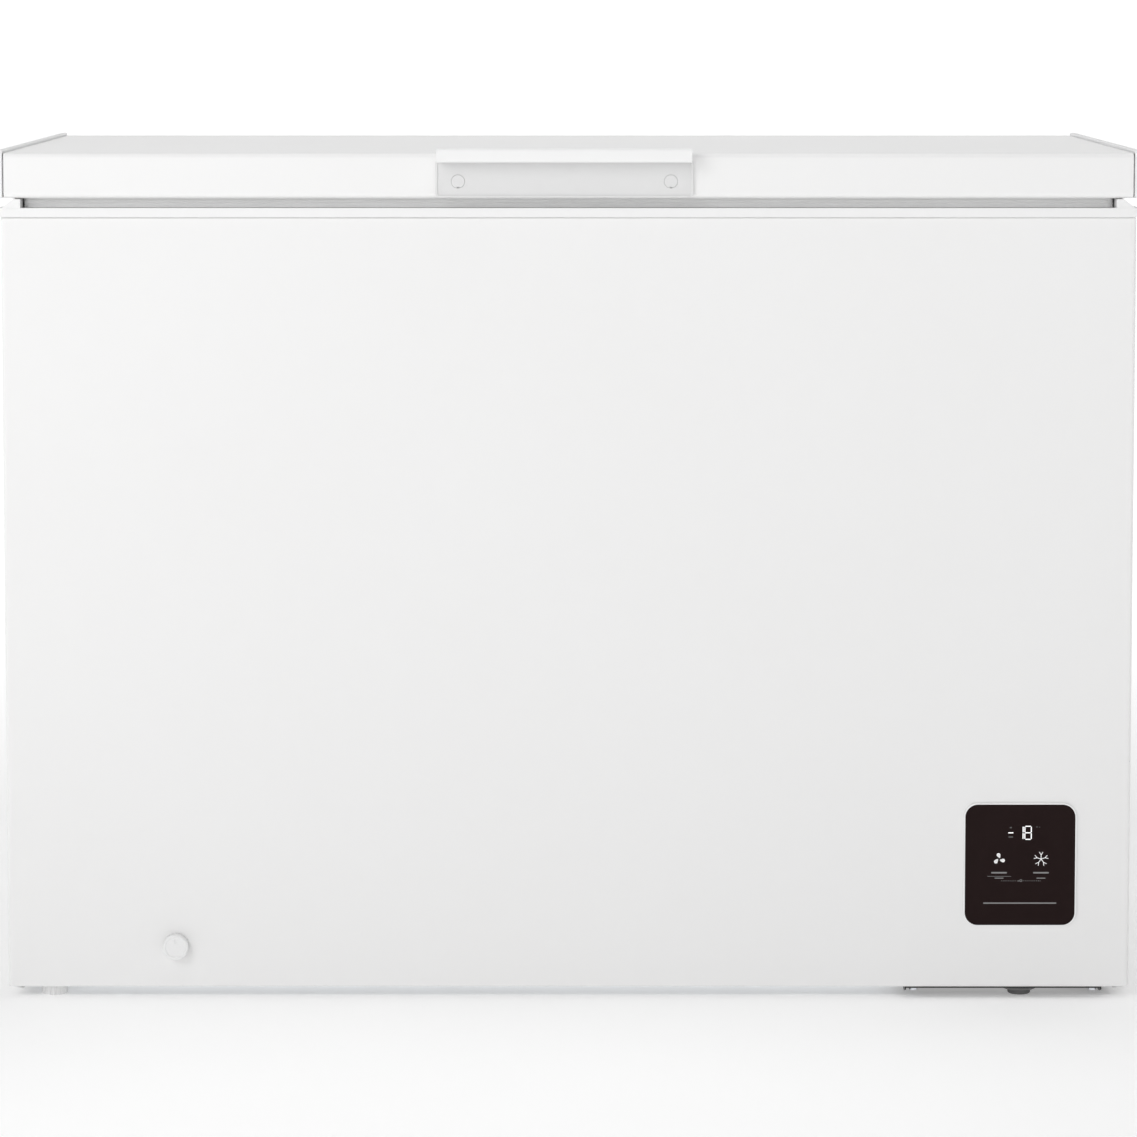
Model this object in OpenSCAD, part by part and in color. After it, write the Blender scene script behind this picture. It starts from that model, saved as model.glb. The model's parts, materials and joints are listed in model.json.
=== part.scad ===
// Chest freezer with a stepped cabinet, a spring-balanced lid and a hanging wire basket.
// Origin: floor level, at the middle of the overall width and depth. Front faces -Y.

/* [Cabinet] */
// Width of the painted cabinet
cab_w = 1109; // [900:1:1350]
// Depth of the painted cabinet
cab_d = 600; // [480:1:740]
// Height of the painted cabinet without feet or rim
cab_h = 762; // [620:1:930]
// Thickness of the steel sheets
sheet_t = 0.8; // [0.6:0.1:1.2]
// Radius of the front vertical corners
cab_corner_r = 4; // [2:0.5:12]
// Width of the folded flanges on the wrap
flange_w = 14; // [8:1:18]
// Thickness of the insulated side walls
side_wall = 66; // [50:1:85]
// Thickness of the insulated front wall
front_wall = 64; // [50:1:85]
// Thickness of the insulated rear wall
rear_wall = 62; // [50:1:80]
// Thickness of the insulated floor
floor_wall = 70; // [60:1:95]
// Corner radius of the inner liner
liner_r = 20; // [10:1:40]

/* [Compressor bay] */
// Width of the compressor bay
bay_w = 228.5; // [215:0.5:275]
// Height of the compressor bay
bay_h = 225; // [215:1:270]
// Insulation between the bay and the storage space
bay_wall = 55; // [48:1:70]
// Radius of the compressor shell
comp_r = 75; // [62:1:82]
// Height of the compressor shell
comp_h = 158; // [130:1:165]
// Width of the black base plate
base_w = 195; // [180:1:210]
// Distance of the base plate from the cabinet's right face
base_in = 26.5; // [24:0.5:30]

/* [Top frame and gasket] */
// Height of the white top frame
rim_h = 9; // [7:0.5:14]
// How far the top frame stands out beyond the cabinet
rim_out = 2.5; // [0.5:0.5:5]
// Height of the raised side shoulders above the top frame
shoulder_h = 8.7; // [0:0.1:9]
// Gap between the top frame and the lid
gasket_gap = 9.5; // [9:0.5:14]
// Width of the gasket
gasket_w = 22; // [16:1:26]
// Inset of the gasket from the cabinet's faces
gasket_inset = 18; // [12:1:22]

/* [Lid] */
// Height of the lid's front skirt
lid_h = 44; // [36:1:60]
// How far the lid stands out in front of the cabinet
lid_over = 2; // [0:0.5:6]
// Width of each lid end cap
cap_w = 7.5; // [5:0.5:14]
// How far an end cap rises above the top sheet
cap_rise = 3; // [0:0.5:6]
// How far the inner panel reaches down into the mouth
plug_drop = 6; // [3:0.5:8]
// Opening angle of the lid
lid_open = 80; // [60:1:85]

/* [Handle] */
// Width of the handle
handle_w = 251; // [180:1:320]
// Sideways place of the handle's middle
handle_x = -4; // [-20:1:20]
// How far the grip reaches forward of the lid
grip_out = 22; // [18:1:30]
// Height of the grip's front lip
grip_lip_h = 13.5; // [10:0.5:18]
// How far the grip's top is above the lid's top sheet
grip_rise = 5; // [0:0.5:8]
// Distance of the handle screws from the handle's ends
handle_screw_in = 21.8; // [12:0.2:40]

/* [Hinges] */
// Distance of each hinge from the cabinet's side
hinge_in = 154.5; // [120:0.5:220]
// How far the pivot is behind the cabinet
pivot_out = 24; // [23:0.5:28]
// Height of the pivot above the top frame
pivot_up = 4.5; // [3:0.5:6]
// Radius of the hinge pin
pin_r = 4; // [3:0.1:5]
// Running clearance on pins and shafts
run_fit = 0.05; // [0.02:0.01:0.1]
// Distance from the pivot to the plunger with the lid closed
cam_r = 20; // [19:0.1:20.5]
// Plunger travel over the whole opening
cam_travel = 12; // [8:0.5:12]
// Radius of the spring's coils
spring_r = 9.5; // [7:0.5:10]
// Radius of the spring wire
spring_wire_r = 1.4; // [1:0.1:1.8]

/* [Control panel] */
// Width of the control panel
panel_w = 111.4; // [90:0.2:140]
// Height of the control panel
panel_h = 123.2; // [90:0.2:150]
// Distance of the panel's middle from the cabinet's right face
panel_in = 108.7; // [85:0.1:130]
// Height of the panel's middle above the cabinet's lower edge
panel_up = 122.7; // [105:0.1:130]
// Corner radius of the panel
panel_r = 14; // [4:0.5:20]

/* [Drain] */
// Distance of the drain from the cabinet's left face
drain_in = 166.5; // [130:0.5:220]
// Height of the drain above the cabinet's lower edge
drain_up = 41.5; // [36:0.5:44]
// Radius of the drain dial
dial_r = 12.7; // [11:0.1:16]
// Radius of the spout that slides in the drain tube
spout_r = 7.7; // [6:0.1:8.5]

/* [Feet] */
// Height of the feet
foot_h = 10.5; // [9:0.5:20]
// Radius of the fluted feet
foot_r = 13.2; // [10:0.1:18]
// Distance of the left feet from the cabinet's left face
foot_left_in = 43.5; // [30:0.5:70]
// Distance of the right feet from the cabinet's right face
foot_right_in = 106.5; // [100:0.5:115]
// Distance of the feet from the front and rear faces
foot_edge = 23; // [22:1:80]

/* [Basket] */
// Width of the wire basket
basket_w = 225; // [180:1:280]
// Height of the wire basket
basket_h = 205; // [150:1:240]
// Distance of the basket from the liner's left wall
basket_in = 12; // [9:1:60]
// Radius of the basket's rim wire
rim_wire_r = 3; // [2.5:0.1:3.5]
// Radius of the basket's mesh wires
mesh_wire_r = 1.5; // [1.2:0.1:2]

/* [Hidden] */
$fn = 48;

gap = 0.3;               // clearance between pieces that move past each other
eps = 1;                 // how far a cutting shape runs past what it cuts
hinge_out = 40;          // depth of a hinge behind the cabinet
total_d = grip_out + lid_over + cab_d + hinge_out;
front_y = grip_out + lid_over - total_d / 2;
rear_y = front_y + cab_d;
half_w = cab_w / 2;
cab_z = foot_h;
cab_top = cab_z + cab_h;
rim_top = cab_top + rim_h;
lid_z = rim_top + gasket_gap;
lid_top = lid_z + lid_h;
lid_front = front_y - lid_over;
lid_rear = rear_y + lid_over;

// Storage space
in_hw = half_w - side_wall;
in_y0 = front_y + front_wall;
in_y1 = rear_y - rear_wall;
in_z = cab_z + floor_wall;
bay_x = half_w - bay_w;
bay_top = cab_z + bay_h;
step_x = bay_x - bay_wall;
step_z = bay_top + floor_wall - 10;
frame_lip = 3;           // thickness of the frame's lip inside the liner
lip_drop = 14;           // how far that lip reaches down
mouth_y0 = in_y0 + frame_lip;
mouth_y1 = in_y1 - frame_lip;
rebate_w = 14;           // ledge that the basket hangs on
rebate_d = 6;

// Hinges
hinge_x = half_w - hinge_in;
pivot_y = rear_y + pivot_out;
pivot_z = rim_top + pivot_up;
cam_rate = cam_travel / (lid_open * PI / 180);
channel_half = 20;       // inside half width of a hinge base
channel_t = 2;
channel_d = 34;
channel_top = cab_top - 8;
channel_bottom = pivot_z - 122;
plunger_top = pivot_z - cam_r - 0.1;
plunger_h = 20;
spring_seat = 12;        // depth of the plunger's spring bore
tab_half = 36;           // half width of a hinge base's fixing plate
screw_off = 30.5;         // hinge screws from the hinge's middle
base_screw_z = [channel_bottom + 12, channel_top - 14];
bracket_z0 = lid_z + 4;
bracket_z1 = lid_top - 5;
lid_screw_z = [bracket_z0 + 8, bracket_z1 - 8];
hub_r = 7;
bracket_screw_in = 8;    // lid bracket screws sit this much nearer the middle
bracket_half = 31;
bracket_t = 2.5;

// Fasteners
screw_r = 2;
screw_head_r = 4.2;
screw_head_h = 2.6;
screw_len = 12;

// Tubes
evap_r = 4;
cond_r = 2.5;
cap_tube_r = 1.2;
evap_levels = 6;
cond_levels = 6;
evap_off = sheet_t + evap_r + 0.2;
cond_off = sheet_t + cond_r + 0.5;
evap_z0 = step_z + 40;
evap_step = (cab_top - 40 - evap_z0) / (evap_levels - 1);
cond_z0 = bay_top + 40;
cond_step = (cab_top - 30 - cond_z0) / (cond_levels - 1);
tube_bend = 15;
evap_x = bay_x - 236;    // where the lowest evaporator turn starts
evap_shift = 34;         // sideways step from turn to turn
pipe_clear = 1;          // room round a tube where it passes through foam or sheet

// Compressor
comp_x = bay_x + bay_w / 2;
comp_y = front_y + cab_d * 0.6;
plate_t = 1.5;
plate_top = cab_z;
grommet_h = 14;
comp_z = plate_top + grommet_h;
comp_foot_t = 3;
comp_band = 3;           // how far the weld band stands out
comp_foot_x = 68;
comp_foot_y = 62;
comp_pad_x = 12;         // half length of the pad round a foot's hole
comp_pad_y = 14;
comp_web = 22;           // half width of the web between the feet
comp_stub_y = comp_y + comp_r + 12;
comp_shell_z = comp_z + comp_foot_t + 4;
suction_x = comp_x + 25;
discharge_x = comp_x - 25;
suction_z = comp_shell_z + comp_h * 0.6;
discharge_z = comp_shell_z + comp_h * 0.4;
suction_y = rear_y - 20;
discharge_y = rear_y - 34;
outlet_y = rear_y - 8;
outlet_x = bay_x + 24;
drier_r = 6.5;
drier_len = 80;
drier_z = bay_top - 50;  // top of the filter drier
cap_bend = 5;

// Feet
foot_lx = foot_left_in - half_w;
foot_rx = half_w - foot_right_in;
foot_fy = front_y + foot_edge;
foot_by = rear_y - foot_edge;
stud_r = 4;
insert_h = 20;

// Control panel
panel_x = half_w - panel_in;
panel_z = cab_z + panel_up;
bezel_proud = 2.4;
bezel_ledge = 0.8;       // thickness of the ledge behind the glass
bezel_rim = 1.4;         // width of the light rim round the glass
housing_inset = 7;       // how far the housing behind the rim is inside it
housing_d = 26;
housing_t = 2;
glass_t = 1.5;
board_t = 1.6;
board_off = 9;           // depth of the circuit board behind the front

// Drain
drain_x = drain_in - half_w;
drain_z = cab_z + drain_up;
drain_y = in_y0 + 55;
tube_wall = 2;
drain_tube_r = spout_r + gap + tube_wall;
drain_bend = 18;
bush_r = 17;
bush_neck_r = drain_tube_r - tube_wall - 0.1;
bush_hole_r = bush_neck_r - 0.9;
dial_h = 10;
spout_len = 60;
spout_tip = front_y - gap - 6;

// Handle
handle_z0 = lid_z + 1;
grip_top = lid_top + grip_rise;
grip_z0 = grip_top - grip_lip_h;
plate_proj = 3.5;        // how far the handle plate stands out from the lid
grip_t = 3;
plug_r = 6.4;
plug_z = lid_z + 16.5;
plate_back = 1;          // thickness left behind a screw head
handle_head_r = 3.6;
handle_head_h = 1.4;
handle_screw_len = 18;

// Basket
basket_x0 = basket_in - in_hw;
basket_x1 = basket_x0 + basket_w;
basket_y0 = mouth_y0 + 7;
basket_y1 = mouth_y1 - 7;
hang_z = rim_top - rebate_d + rim_wire_r - 0.4;
hang_r = rim_wire_r - 0.5;
hook_bend = 4;
wire_in = 16;            // distance of the first mesh wire from a corner
basket_rim_z = rim_top - 14;
basket_bottom = basket_rim_z - basket_h;

// ---- helpers ----

// A rectangle from one corner to the other with chosen round corners, as squares and circles.
module round_rect(x0, y0, x1, y1, r) {
    translate([x0 + r, y0]) square([x1 - x0 - 2 * r, y1 - y0]);
    translate([x0, y0 + r]) square([x1 - x0, y1 - y0 - 2 * r]);
    for (x = [x0 + r, x1 - r], y = [y0 + r, y1 - r]) translate([x, y]) circle(r);
}

// A box between two corners.
module block(a, b) {
    translate(a) cube([b[0] - a[0], b[1] - a[1], b[2] - a[2]]);
}

// An outline in X and Y, standing from z0 to z1.
module slab(z0, z1) {
    translate([0, 0, z0]) linear_extrude(z1 - z0) children();
}

// An outline drawn as X and Z, running from y0 to y1.
module along_y(y0, y1) {
    translate([0, y1, 0]) rotate([90, 0, 0]) linear_extrude(y1 - y0) children();
}

// An outline drawn as Y and Z, running from x0 to x1.
module along_x(x0, x1) {
    translate([x0, 0, 0]) rotate([90, 0, 90]) linear_extrude(x1 - x0) children();
}

// A rod along Y from y0 to y1.
module rod_y(x, z, r, y0, y1) {
    translate([x, y1, z]) rotate([90, 0, 0]) cylinder(r = r, h = y1 - y0);
}

// A rod along X from x0 to x1.
module rod_x(y, z, r, x0, x1) {
    translate([x0, y, z]) rotate([0, 90, 0]) cylinder(r = r, h = x1 - x0);
}

// A rod along Z from z0 to z1.
module rod_z(x, y, r, z0, z1) {
    translate([x, y, z0]) cylinder(r = r, h = z1 - z0);
}

function unit(v) = v / norm(v);

// A straight run of tube between two points on one axis.
module run(a, b, r) {
    d = unit(b - a);
    len = norm(b - a);
    if (abs(d[2]) > 0.5) translate(d[2] > 0 ? a : b) cylinder(r = r, h = len);
    else if (abs(d[0]) > 0.5) translate(d[0] > 0 ? a : b) rotate([0, 90, 0]) cylinder(r = r, h = len);
    else translate(d[1] > 0 ? b : a) rotate([90, 0, 0]) cylinder(r = r, h = len);
}

// The quarter turn at corner p, coming in along a and leaving along b.
module elbow(p, a, b, r, bend) {
    c = p - a * bend + b * bend;
    n = cross(a, b);
    multmatrix([[-b[0], a[0], n[0], c[0]], [-b[1], a[1], n[1], c[1]], [-b[2], a[2], n[2], c[2]],
        [0, 0, 0, 1]])
        rotate_extrude(angle = 90) translate([bend, 0]) circle(r);
}

// A tube through corners that turn at right angles.
module pipe(points, r, bend) {
    last = len(points) - 1;
    for (i = [0 : last - 1]) {
        d = unit(points[i + 1] - points[i]);
        run(points[i] + (i > 0 ? d * bend : [0, 0, 0]),
            points[i + 1] - (i < last - 1 ? d * bend : [0, 0, 0]), r);
    }
    for (i = [1 : last - 1])
        elbow(points[i], unit(points[i] - points[i - 1]), unit(points[i + 1] - points[i]), r, bend);
}

// The inside of the cabinet with its step, grown outwards by g.
module tub(g, z_top) {
    intersection() {
        along_y(in_y0 - g, in_y1 + g) polygon([[-in_hw - g, z_top], [-in_hw - g, in_z - g],
            [step_x + g, in_z - g], [step_x + g, step_z - g], [in_hw + g, step_z - g], [in_hw + g, z_top]]);
        slab(in_z - g - eps, z_top) round_rect(-in_hw - g, in_y0 - g, in_hw + g, in_y1 + g, liner_r + g);
    }
}

// A rectangular ring: outer corners, width of the ring, outer corner radius.
module ring(x0, y0, x1, y1, w, r) {
    difference() {
        round_rect(x0, y0, x1, y1, r);
        round_rect(x0 + w, y0 + w, x1 - w, y1 - w, max(r - w, 0.5));
    }
}

// A pan-head screw along Y: its head stands on the face at y, and its shank runs towards -Y.
module screw_y(x, z, y, len) {
    rod_y(x, z, screw_head_r, y, y + screw_head_h);
    rod_y(x, z, screw_r, y - len, y);
}

module mirror_hinges() {
    for (x = [-hinge_x, hinge_x]) translate([x, 0, 0]) children();
}

function hinge_base_screw_places() = [for (x = [-hinge_x, hinge_x], s = [-1, 1], z = base_screw_z)
    [x + s * screw_off, z]];
function hinge_lid_screw_places() = [for (x = [-hinge_x, hinge_x], s = [-1, 1], z = lid_screw_z)
    [x + s * (screw_off - bracket_screw_in), z]];
function handle_screw_places() = [for (s = [-1, 1])
    [handle_x + s * (handle_w / 2 - handle_screw_in), plug_z]];

// ---- tube routes ----

evap_x1 = in_hw + evap_off;
evap_y0 = in_y0 - evap_off;
evap_y1 = in_y1 + evap_off;
function evap_s(i) = evap_x + i * evap_shift;
function evap_h(i) = evap_z0 + i * evap_step;
function evap_turn(i) = [[evap_s(i), evap_y1, evap_h(i)], [-evap_x1, evap_y1, evap_h(i)],
    [-evap_x1, evap_y0, evap_h(i)], [evap_x1, evap_y0, evap_h(i)], [evap_x1, evap_y1, evap_h(i)],
    [evap_s(i + 1), evap_y1, evap_h(i)]];
evap_path = concat([[evap_x, evap_y1 + tube_bend + 1, evap_z0]],
    [for (i = [0 : evap_levels - 1]) each evap_turn(i)]);

// The condenser winds down the left, front and right walls and ends beside the filter drier.
cond_x = half_w - cond_off;
cond_y0 = front_y + cond_off;
cond_y1 = rear_y - 70;
function cond_h(i) = cond_z0 + (cond_levels - 1 - i) * cond_step;
function cond_turn(i) = let (s = i % 2 == 0 ? 1 : -1) [[s * cond_x, cond_y1, cond_h(i)],
    [s * cond_x, cond_y0, cond_h(i)], [-s * cond_x, cond_y0, cond_h(i)], [-s * cond_x, cond_y1, cond_h(i)]];
cond_low = cond_h(cond_levels - 1);
cond_path = concat([for (i = [0 : cond_levels - 1]) each [for (k = [0 : 3])
    if (i < cond_levels - 1 || k < 3) cond_turn(i)[k]]],
    [[cond_x, outlet_y, cond_low], [outlet_x, outlet_y, cond_low], [outlet_x, outlet_y, drier_z]]);

discharge_up_x = cond_x - 2 * tube_bend - 2;
discharge_path = [[discharge_x, comp_stub_y, discharge_z], [discharge_x, discharge_y, discharge_z],
    [discharge_up_x, discharge_y, discharge_z], [discharge_up_x, discharge_y, cond_h(0)],
    [cond_x, discharge_y, cond_h(0)], [cond_x, cond_y1, cond_h(0)]];
suction_path = [[suction_x, comp_stub_y, suction_z], [suction_x, suction_y, suction_z],
    [suction_x, suction_y, evap_z0], [evap_x, suction_y, evap_z0],
    [evap_x, evap_y1 + tube_bend + 1, evap_z0]];
cap_x = evap_s(evap_levels) - 2 * cap_bend;
cap_z = drier_z - drier_len - 20;
cap_path = [[outlet_x, outlet_y, drier_z - drier_len], [outlet_x, outlet_y, cap_z],
    [cap_x, outlet_y, cap_z], [cap_x, outlet_y, evap_h(evap_levels - 1)],
    [cap_x, evap_y1, evap_h(evap_levels - 1)], [evap_s(evap_levels), evap_y1, evap_h(evap_levels - 1)]];
drain_path = [[drain_x, front_y, drain_z], [drain_x, drain_y, drain_z], [drain_x, drain_y, in_z - sheet_t]];

// ---- cabinet ----

module wrap_outline(g) {
    round_rect(-half_w + g, front_y + g, half_w - g, rear_y + 2 * cab_corner_r, max(cab_corner_r - g, 0.5));
}

module panel_outline(g) {
    round_rect(panel_x - panel_w / 2 + g, panel_z - panel_h / 2 + g,
        panel_x + panel_w / 2 - g, panel_z + panel_h / 2 - g, max(panel_r - g, 1));
}

module cabinet_wrap() {
    color("white") difference() {
        slab(cab_z, cab_top) wrap_outline(0);
        slab(cab_z + sheet_t, cab_top - sheet_t) wrap_outline(sheet_t);
        slab(cab_z - eps, cab_top + eps) wrap_outline(flange_w);
        block([-half_w - eps, rear_y, cab_z - eps], [half_w + eps, rear_y + 3 * cab_corner_r, cab_top + eps]);
        along_y(front_y - eps, front_y + 3) panel_outline(housing_inset - gap);
        rod_y(drain_x, drain_z, drain_tube_r + gap, front_y - eps, front_y + 3);
        for (p = plate_screw_places()) rod_z(p[0], p[1], screw_r, cab_z - eps, cab_z + 3);
    }
}

module rear_panel() {
    color("gainsboro") difference() {
        block([-half_w + sheet_t, rear_y - sheet_t, cab_z + sheet_t],
            [half_w - sheet_t, rear_y, cab_top - sheet_t]);
        block([bay_open_x0, rear_y - 3, bay_open_z0], [bay_open_x1, rear_y + eps, bay_open_z1]);
        for (p = hinge_base_screw_places()) rod_y(p[0], p[1], screw_r + 0.1, rear_y - 3, rear_y + eps);
        for (p = cover_screw_places()) rod_y(p[0], p[1], screw_r + 0.1, rear_y - 3, rear_y + eps);
    }
}

bay_open_x0 = bay_x + 12;
bay_open_x1 = half_w - 14;
bay_open_z0 = cab_z + 8;
bay_open_z1 = bay_top - 10;
cover_edge = 8;          // how far the bay cover laps over the rear panel
function cover_screw_places() = [for (x = [bay_open_x0 - 4, bay_open_x1 + 4],
    z = [bay_open_z0 + 16, bay_open_z1 - 16]) [x, z]];

module bottom_panel() {
    in0 = sheet_t;
    color("silver") difference() {
        along_y(front_y + sheet_t, rear_y - sheet_t) polygon([[-half_w + in0, cab_z + in0],
            [bay_x, cab_z + in0], [bay_x, bay_top], [half_w - in0, bay_top],
            [half_w - in0, bay_top + sheet_t], [bay_x - sheet_t, bay_top + sheet_t],
            [bay_x - sheet_t, cab_z + 2 * in0], [-half_w + in0, cab_z + 2 * in0]]);
        for (y = [foot_fy, foot_by]) rod_z(foot_lx, y, stud_r + gap, cab_z - eps, cab_z + 4);
        rod_z(suction_x, suction_y, evap_r + pipe_clear, bay_top - eps, bay_top + 3);
        rod_z(discharge_up_x, discharge_y, cond_r + pipe_clear, bay_top - eps, bay_top + 3);
        rod_z(outlet_x, outlet_y, cond_r + pipe_clear, bay_top - eps, bay_top + 3);
        rod_x(outlet_y, cap_z, cap_tube_r + pipe_clear, bay_x - 3, bay_x + 3);
    }
}

module inner_liner() {
    color("whitesmoke") difference() {
        union() {
            tub(sheet_t, cab_top);
            slab(cab_top - sheet_t, cab_top) round_rect(-in_hw - flange_w, in_y0 - flange_w,
                in_hw + flange_w, in_y1 + flange_w, liner_r + flange_w);
        }
        tub(0, cab_top + eps);
        rod_z(drain_x, drain_y, bush_neck_r + gap, in_z - 3, in_z + 3);
    }
}

// The foam sets round the tubes, so the tubes share its space.
module foam_insulation() {
    color("khaki") difference() {
        slab(cab_z + 2 * sheet_t, cab_top - sheet_t) wrap_outline(sheet_t);
        block([-half_w - eps, rear_y - sheet_t, cab_z - eps],
            [half_w + eps, rear_y + 3 * cab_corner_r, cab_top]);
        block([bay_x - sheet_t, front_y - eps, cab_z - eps], [half_w + eps, rear_y + eps, bay_top + sheet_t]);
        tub(sheet_t, cab_top + eps);
        pipe([drain_path[0] - [0, eps, 0], drain_path[1], drain_path[2]], drain_tube_r, drain_bend);
        rod_z(drain_x, drain_y, drain_tube_r, drain_z + drain_bend, in_z);
        for (y = [foot_fy, foot_by]) rod_z(foot_lx, y, insert_r, cab_z, cab_z + 2 * sheet_t + insert_h);
        for (p = hinge_base_screw_places())
            rod_y(p[0], p[1], screw_r + 0.1, rear_y - screw_len - 2, rear_y);
        rod_x(in_y0 + 60, sensor_z, sensor_r, in_hw, in_hw + sensor_len);
    }
}

insert_r = 9;
sensor_r = 4;
sensor_len = 20;
sensor_z = step_z + 160;

module temperature_sensor() {
    color("dimgray") rod_x(in_y0 + 60, sensor_z, sensor_r, in_hw + sheet_t, in_hw + sensor_len);
}

// The sloped rail along one side of the top frame, drawn for the right side.
module side_rail() {
    out = half_w + rim_out;
    in = half_w - gasket_inset - 1;
    polygon([[in, cab_top], [out, cab_top], [out, rim_top - 3], [out - 6.6, rim_top + 0.7],
        [out - 15, rim_top + shoulder_h], [out - 19.5, rim_top + shoulder_h], [in, rim_top]]);
}

module top_frame() {
    y0 = front_y - rim_out;
    y1 = rear_y + 1;
    color("white") difference() {
        union() {
            slab(cab_top, rim_top) round_rect(-half_w - rim_out + 3, y0, half_w + rim_out - 3, y1, 3);
            for (m = [0, 1]) mirror([m, 0, 0]) along_y(y0 + 0.5, y1) side_rail();
            slab(cab_top - lip_drop, cab_top) round_rect(-in_hw + gap, in_y0 + gap, in_hw - gap, in_y1 - gap,
                liner_r - gap);
        }
        slab(cab_top - lip_drop - eps, rim_top + eps) round_rect(-in_hw + frame_lip, mouth_y0,
            in_hw - frame_lip, mouth_y1, liner_r - frame_lip);
        slab(rim_top - rebate_d, rim_top + eps) round_rect(-in_hw + frame_lip, mouth_y0 - rebate_w,
            in_hw - frame_lip, mouth_y1 + rebate_w, 3);
    }
}

// ---- cooling circuit ----

module evaporator_coil() {
    color("silver") pipe(evap_path, evap_r, tube_bend);
}

module condenser_coil() {
    color("peru") pipe(cond_path, cond_r, tube_bend);
}

// A round shell with a domed top and bottom, a weld band and three tube stubs.
module compressor() {
    dome = comp_r * 0.4;
    dome_r = (comp_r * comp_r + dome * dome) / (2 * dome);
    wall_z0 = comp_shell_z + dome;
    wall_z1 = comp_shell_z + comp_h - dome;
    color("black") difference() {
        union() {
            rod_z(comp_x, comp_y, comp_r, wall_z0, wall_z1);
            intersection() {
                rod_z(comp_x, comp_y, comp_r, wall_z1 - eps, wall_z1 + dome + eps);
                translate([comp_x, comp_y, wall_z1 + dome - dome_r]) sphere(dome_r);
            }
            intersection() {
                rod_z(comp_x, comp_y, comp_r, wall_z0 - dome - eps, wall_z0 + eps);
                translate([comp_x, comp_y, wall_z0 - dome + dome_r]) sphere(dome_r);
            }
            rod_z(comp_x, comp_y, comp_r + comp_band, comp_shell_z + comp_h / 2 - comp_band,
                comp_shell_z + comp_h / 2 + comp_band);
            rod_y(suction_x, suction_z, evap_r + 2, comp_y, comp_stub_y);
            rod_y(discharge_x, discharge_z, cond_r + 2, comp_y, comp_stub_y);
            rod_z(comp_x, comp_y, comp_r * 0.5, comp_z, comp_shell_z + dome);
            for (s = [-1, 1])
                block([comp_x - comp_foot_x - comp_pad_x, comp_y + s * comp_foot_y - comp_pad_y, comp_z],
                    [comp_x + comp_foot_x + comp_pad_x, comp_y + s * comp_foot_y + comp_pad_y,
                    comp_z + comp_foot_t]);
            block([comp_x - comp_web, comp_y - comp_foot_y, comp_z],
                [comp_x + comp_web, comp_y + comp_foot_y, comp_z + comp_foot_t]);
        }
        for (p = comp_foot_places())
            rod_z(p[0], p[1], grommet_neck_r, comp_z - eps, comp_z + comp_foot_t + eps);
    }
}

grommet_neck_r = 6;
grommet_r = 11;
grommet_cap_h = 4;
bolt_r = 3;
washer_t = 1.5;
nut_r = 6;
nut_h = 4;
function comp_foot_places() = [for (x = [-1, 1], y = [-1, 1])
    [comp_x + x * comp_foot_x, comp_y + y * comp_foot_y]];

module compressor_grommets() {
    color("dimgray") for (p = comp_foot_places()) translate([p[0], p[1], plate_top]) difference() {
        union() {
            cylinder(r = grommet_r, h = grommet_h);
            cylinder(r = grommet_neck_r, h = grommet_h + comp_foot_t);
            translate([0, 0, grommet_h + comp_foot_t]) cylinder(r = grommet_r - 2, h = grommet_cap_h);
        }
        translate([0, 0, -eps]) cylinder(r = bolt_r, h = grommet_h + comp_foot_t + grommet_cap_h + 2 * eps);
    }
}

module compressor_bolts() {
    z1 = plate_top + grommet_h + comp_foot_t + grommet_cap_h;
    color("silver") for (p = comp_foot_places()) {
        rod_z(p[0], p[1], bolt_r, plate_top - plate_t, z1);
        rod_z(p[0], p[1], grommet_r - 3, z1, z1 + washer_t);
        translate([p[0], p[1], z1 + washer_t]) cylinder(r = nut_r, h = nut_h, $fn = 6);
    }
}

module relay_cover() {
    y1 = comp_y - comp_r - comp_band - gap;
    color("black") slab(comp_shell_z + comp_h * 0.3, comp_shell_z + comp_h * 0.75)
        round_rect(comp_x - 30, y1 - 34, comp_x + 30, y1, 5);
}

module suction_pipe() {
    color("peru") pipe(suction_path, evap_r, tube_bend);
}

module discharge_pipe() {
    color("peru") pipe(discharge_path, cond_r, tube_bend);
}

module filter_drier() {
    color("peru") union() {
        rod_z(outlet_x, outlet_y, drier_r, drier_z - drier_len + 10, drier_z - 10);
        rod_z(outlet_x, outlet_y, cond_r + 1, drier_z - drier_len, drier_z);
    }
}

module capillary_tube() {
    color("peru") pipe(cap_path, cap_tube_r, cap_bend);
}

plate_x0 = half_w - base_in - base_w;
plate_x1 = plate_x0 + base_w;
plate_y0 = front_y + 2;
plate_y1 = rear_y - 4;
plate_flange = 6.5;      // height of the plate's turned-down sides
function plate_screw_places() = [for (x = [plate_x0 + 9, plate_x1 - 9], y = [plate_y0 + 6, plate_y1 - 6])
    [x, y]];

module base_plate() {
    z0 = cab_z - plate_t;
    color("black") difference() {
        union() {
            block([plate_x0, plate_y0, z0], [plate_x1, plate_y1, cab_z]);
            for (x = [plate_x0, plate_x1 - plate_t]) along_x(x, x + plate_t)
                polygon([[plate_y0, z0 + 0.5], [plate_y0, z0 - 1.5],
                    [plate_y0 + 12, z0 - plate_flange + plate_t],
                    [plate_y1 - 12, z0 - plate_flange + plate_t],
                    [plate_y1, z0 - 1.5], [plate_y1, z0 + 0.5]]);
        }
        for (p = comp_foot_places()) rod_z(p[0], p[1], bolt_r, z0 - eps, cab_z + eps);
        rod_z(foot_rx, foot_fy, stud_r + run_fit, z0 - eps, cab_z + eps);
        rod_z(foot_rx, foot_by, stud_r, z0 - eps, cab_z + eps);
        for (p = plate_screw_places()) rod_z(p[0], p[1], screw_r, z0 - eps, cab_z + eps);
    }
}

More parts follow.
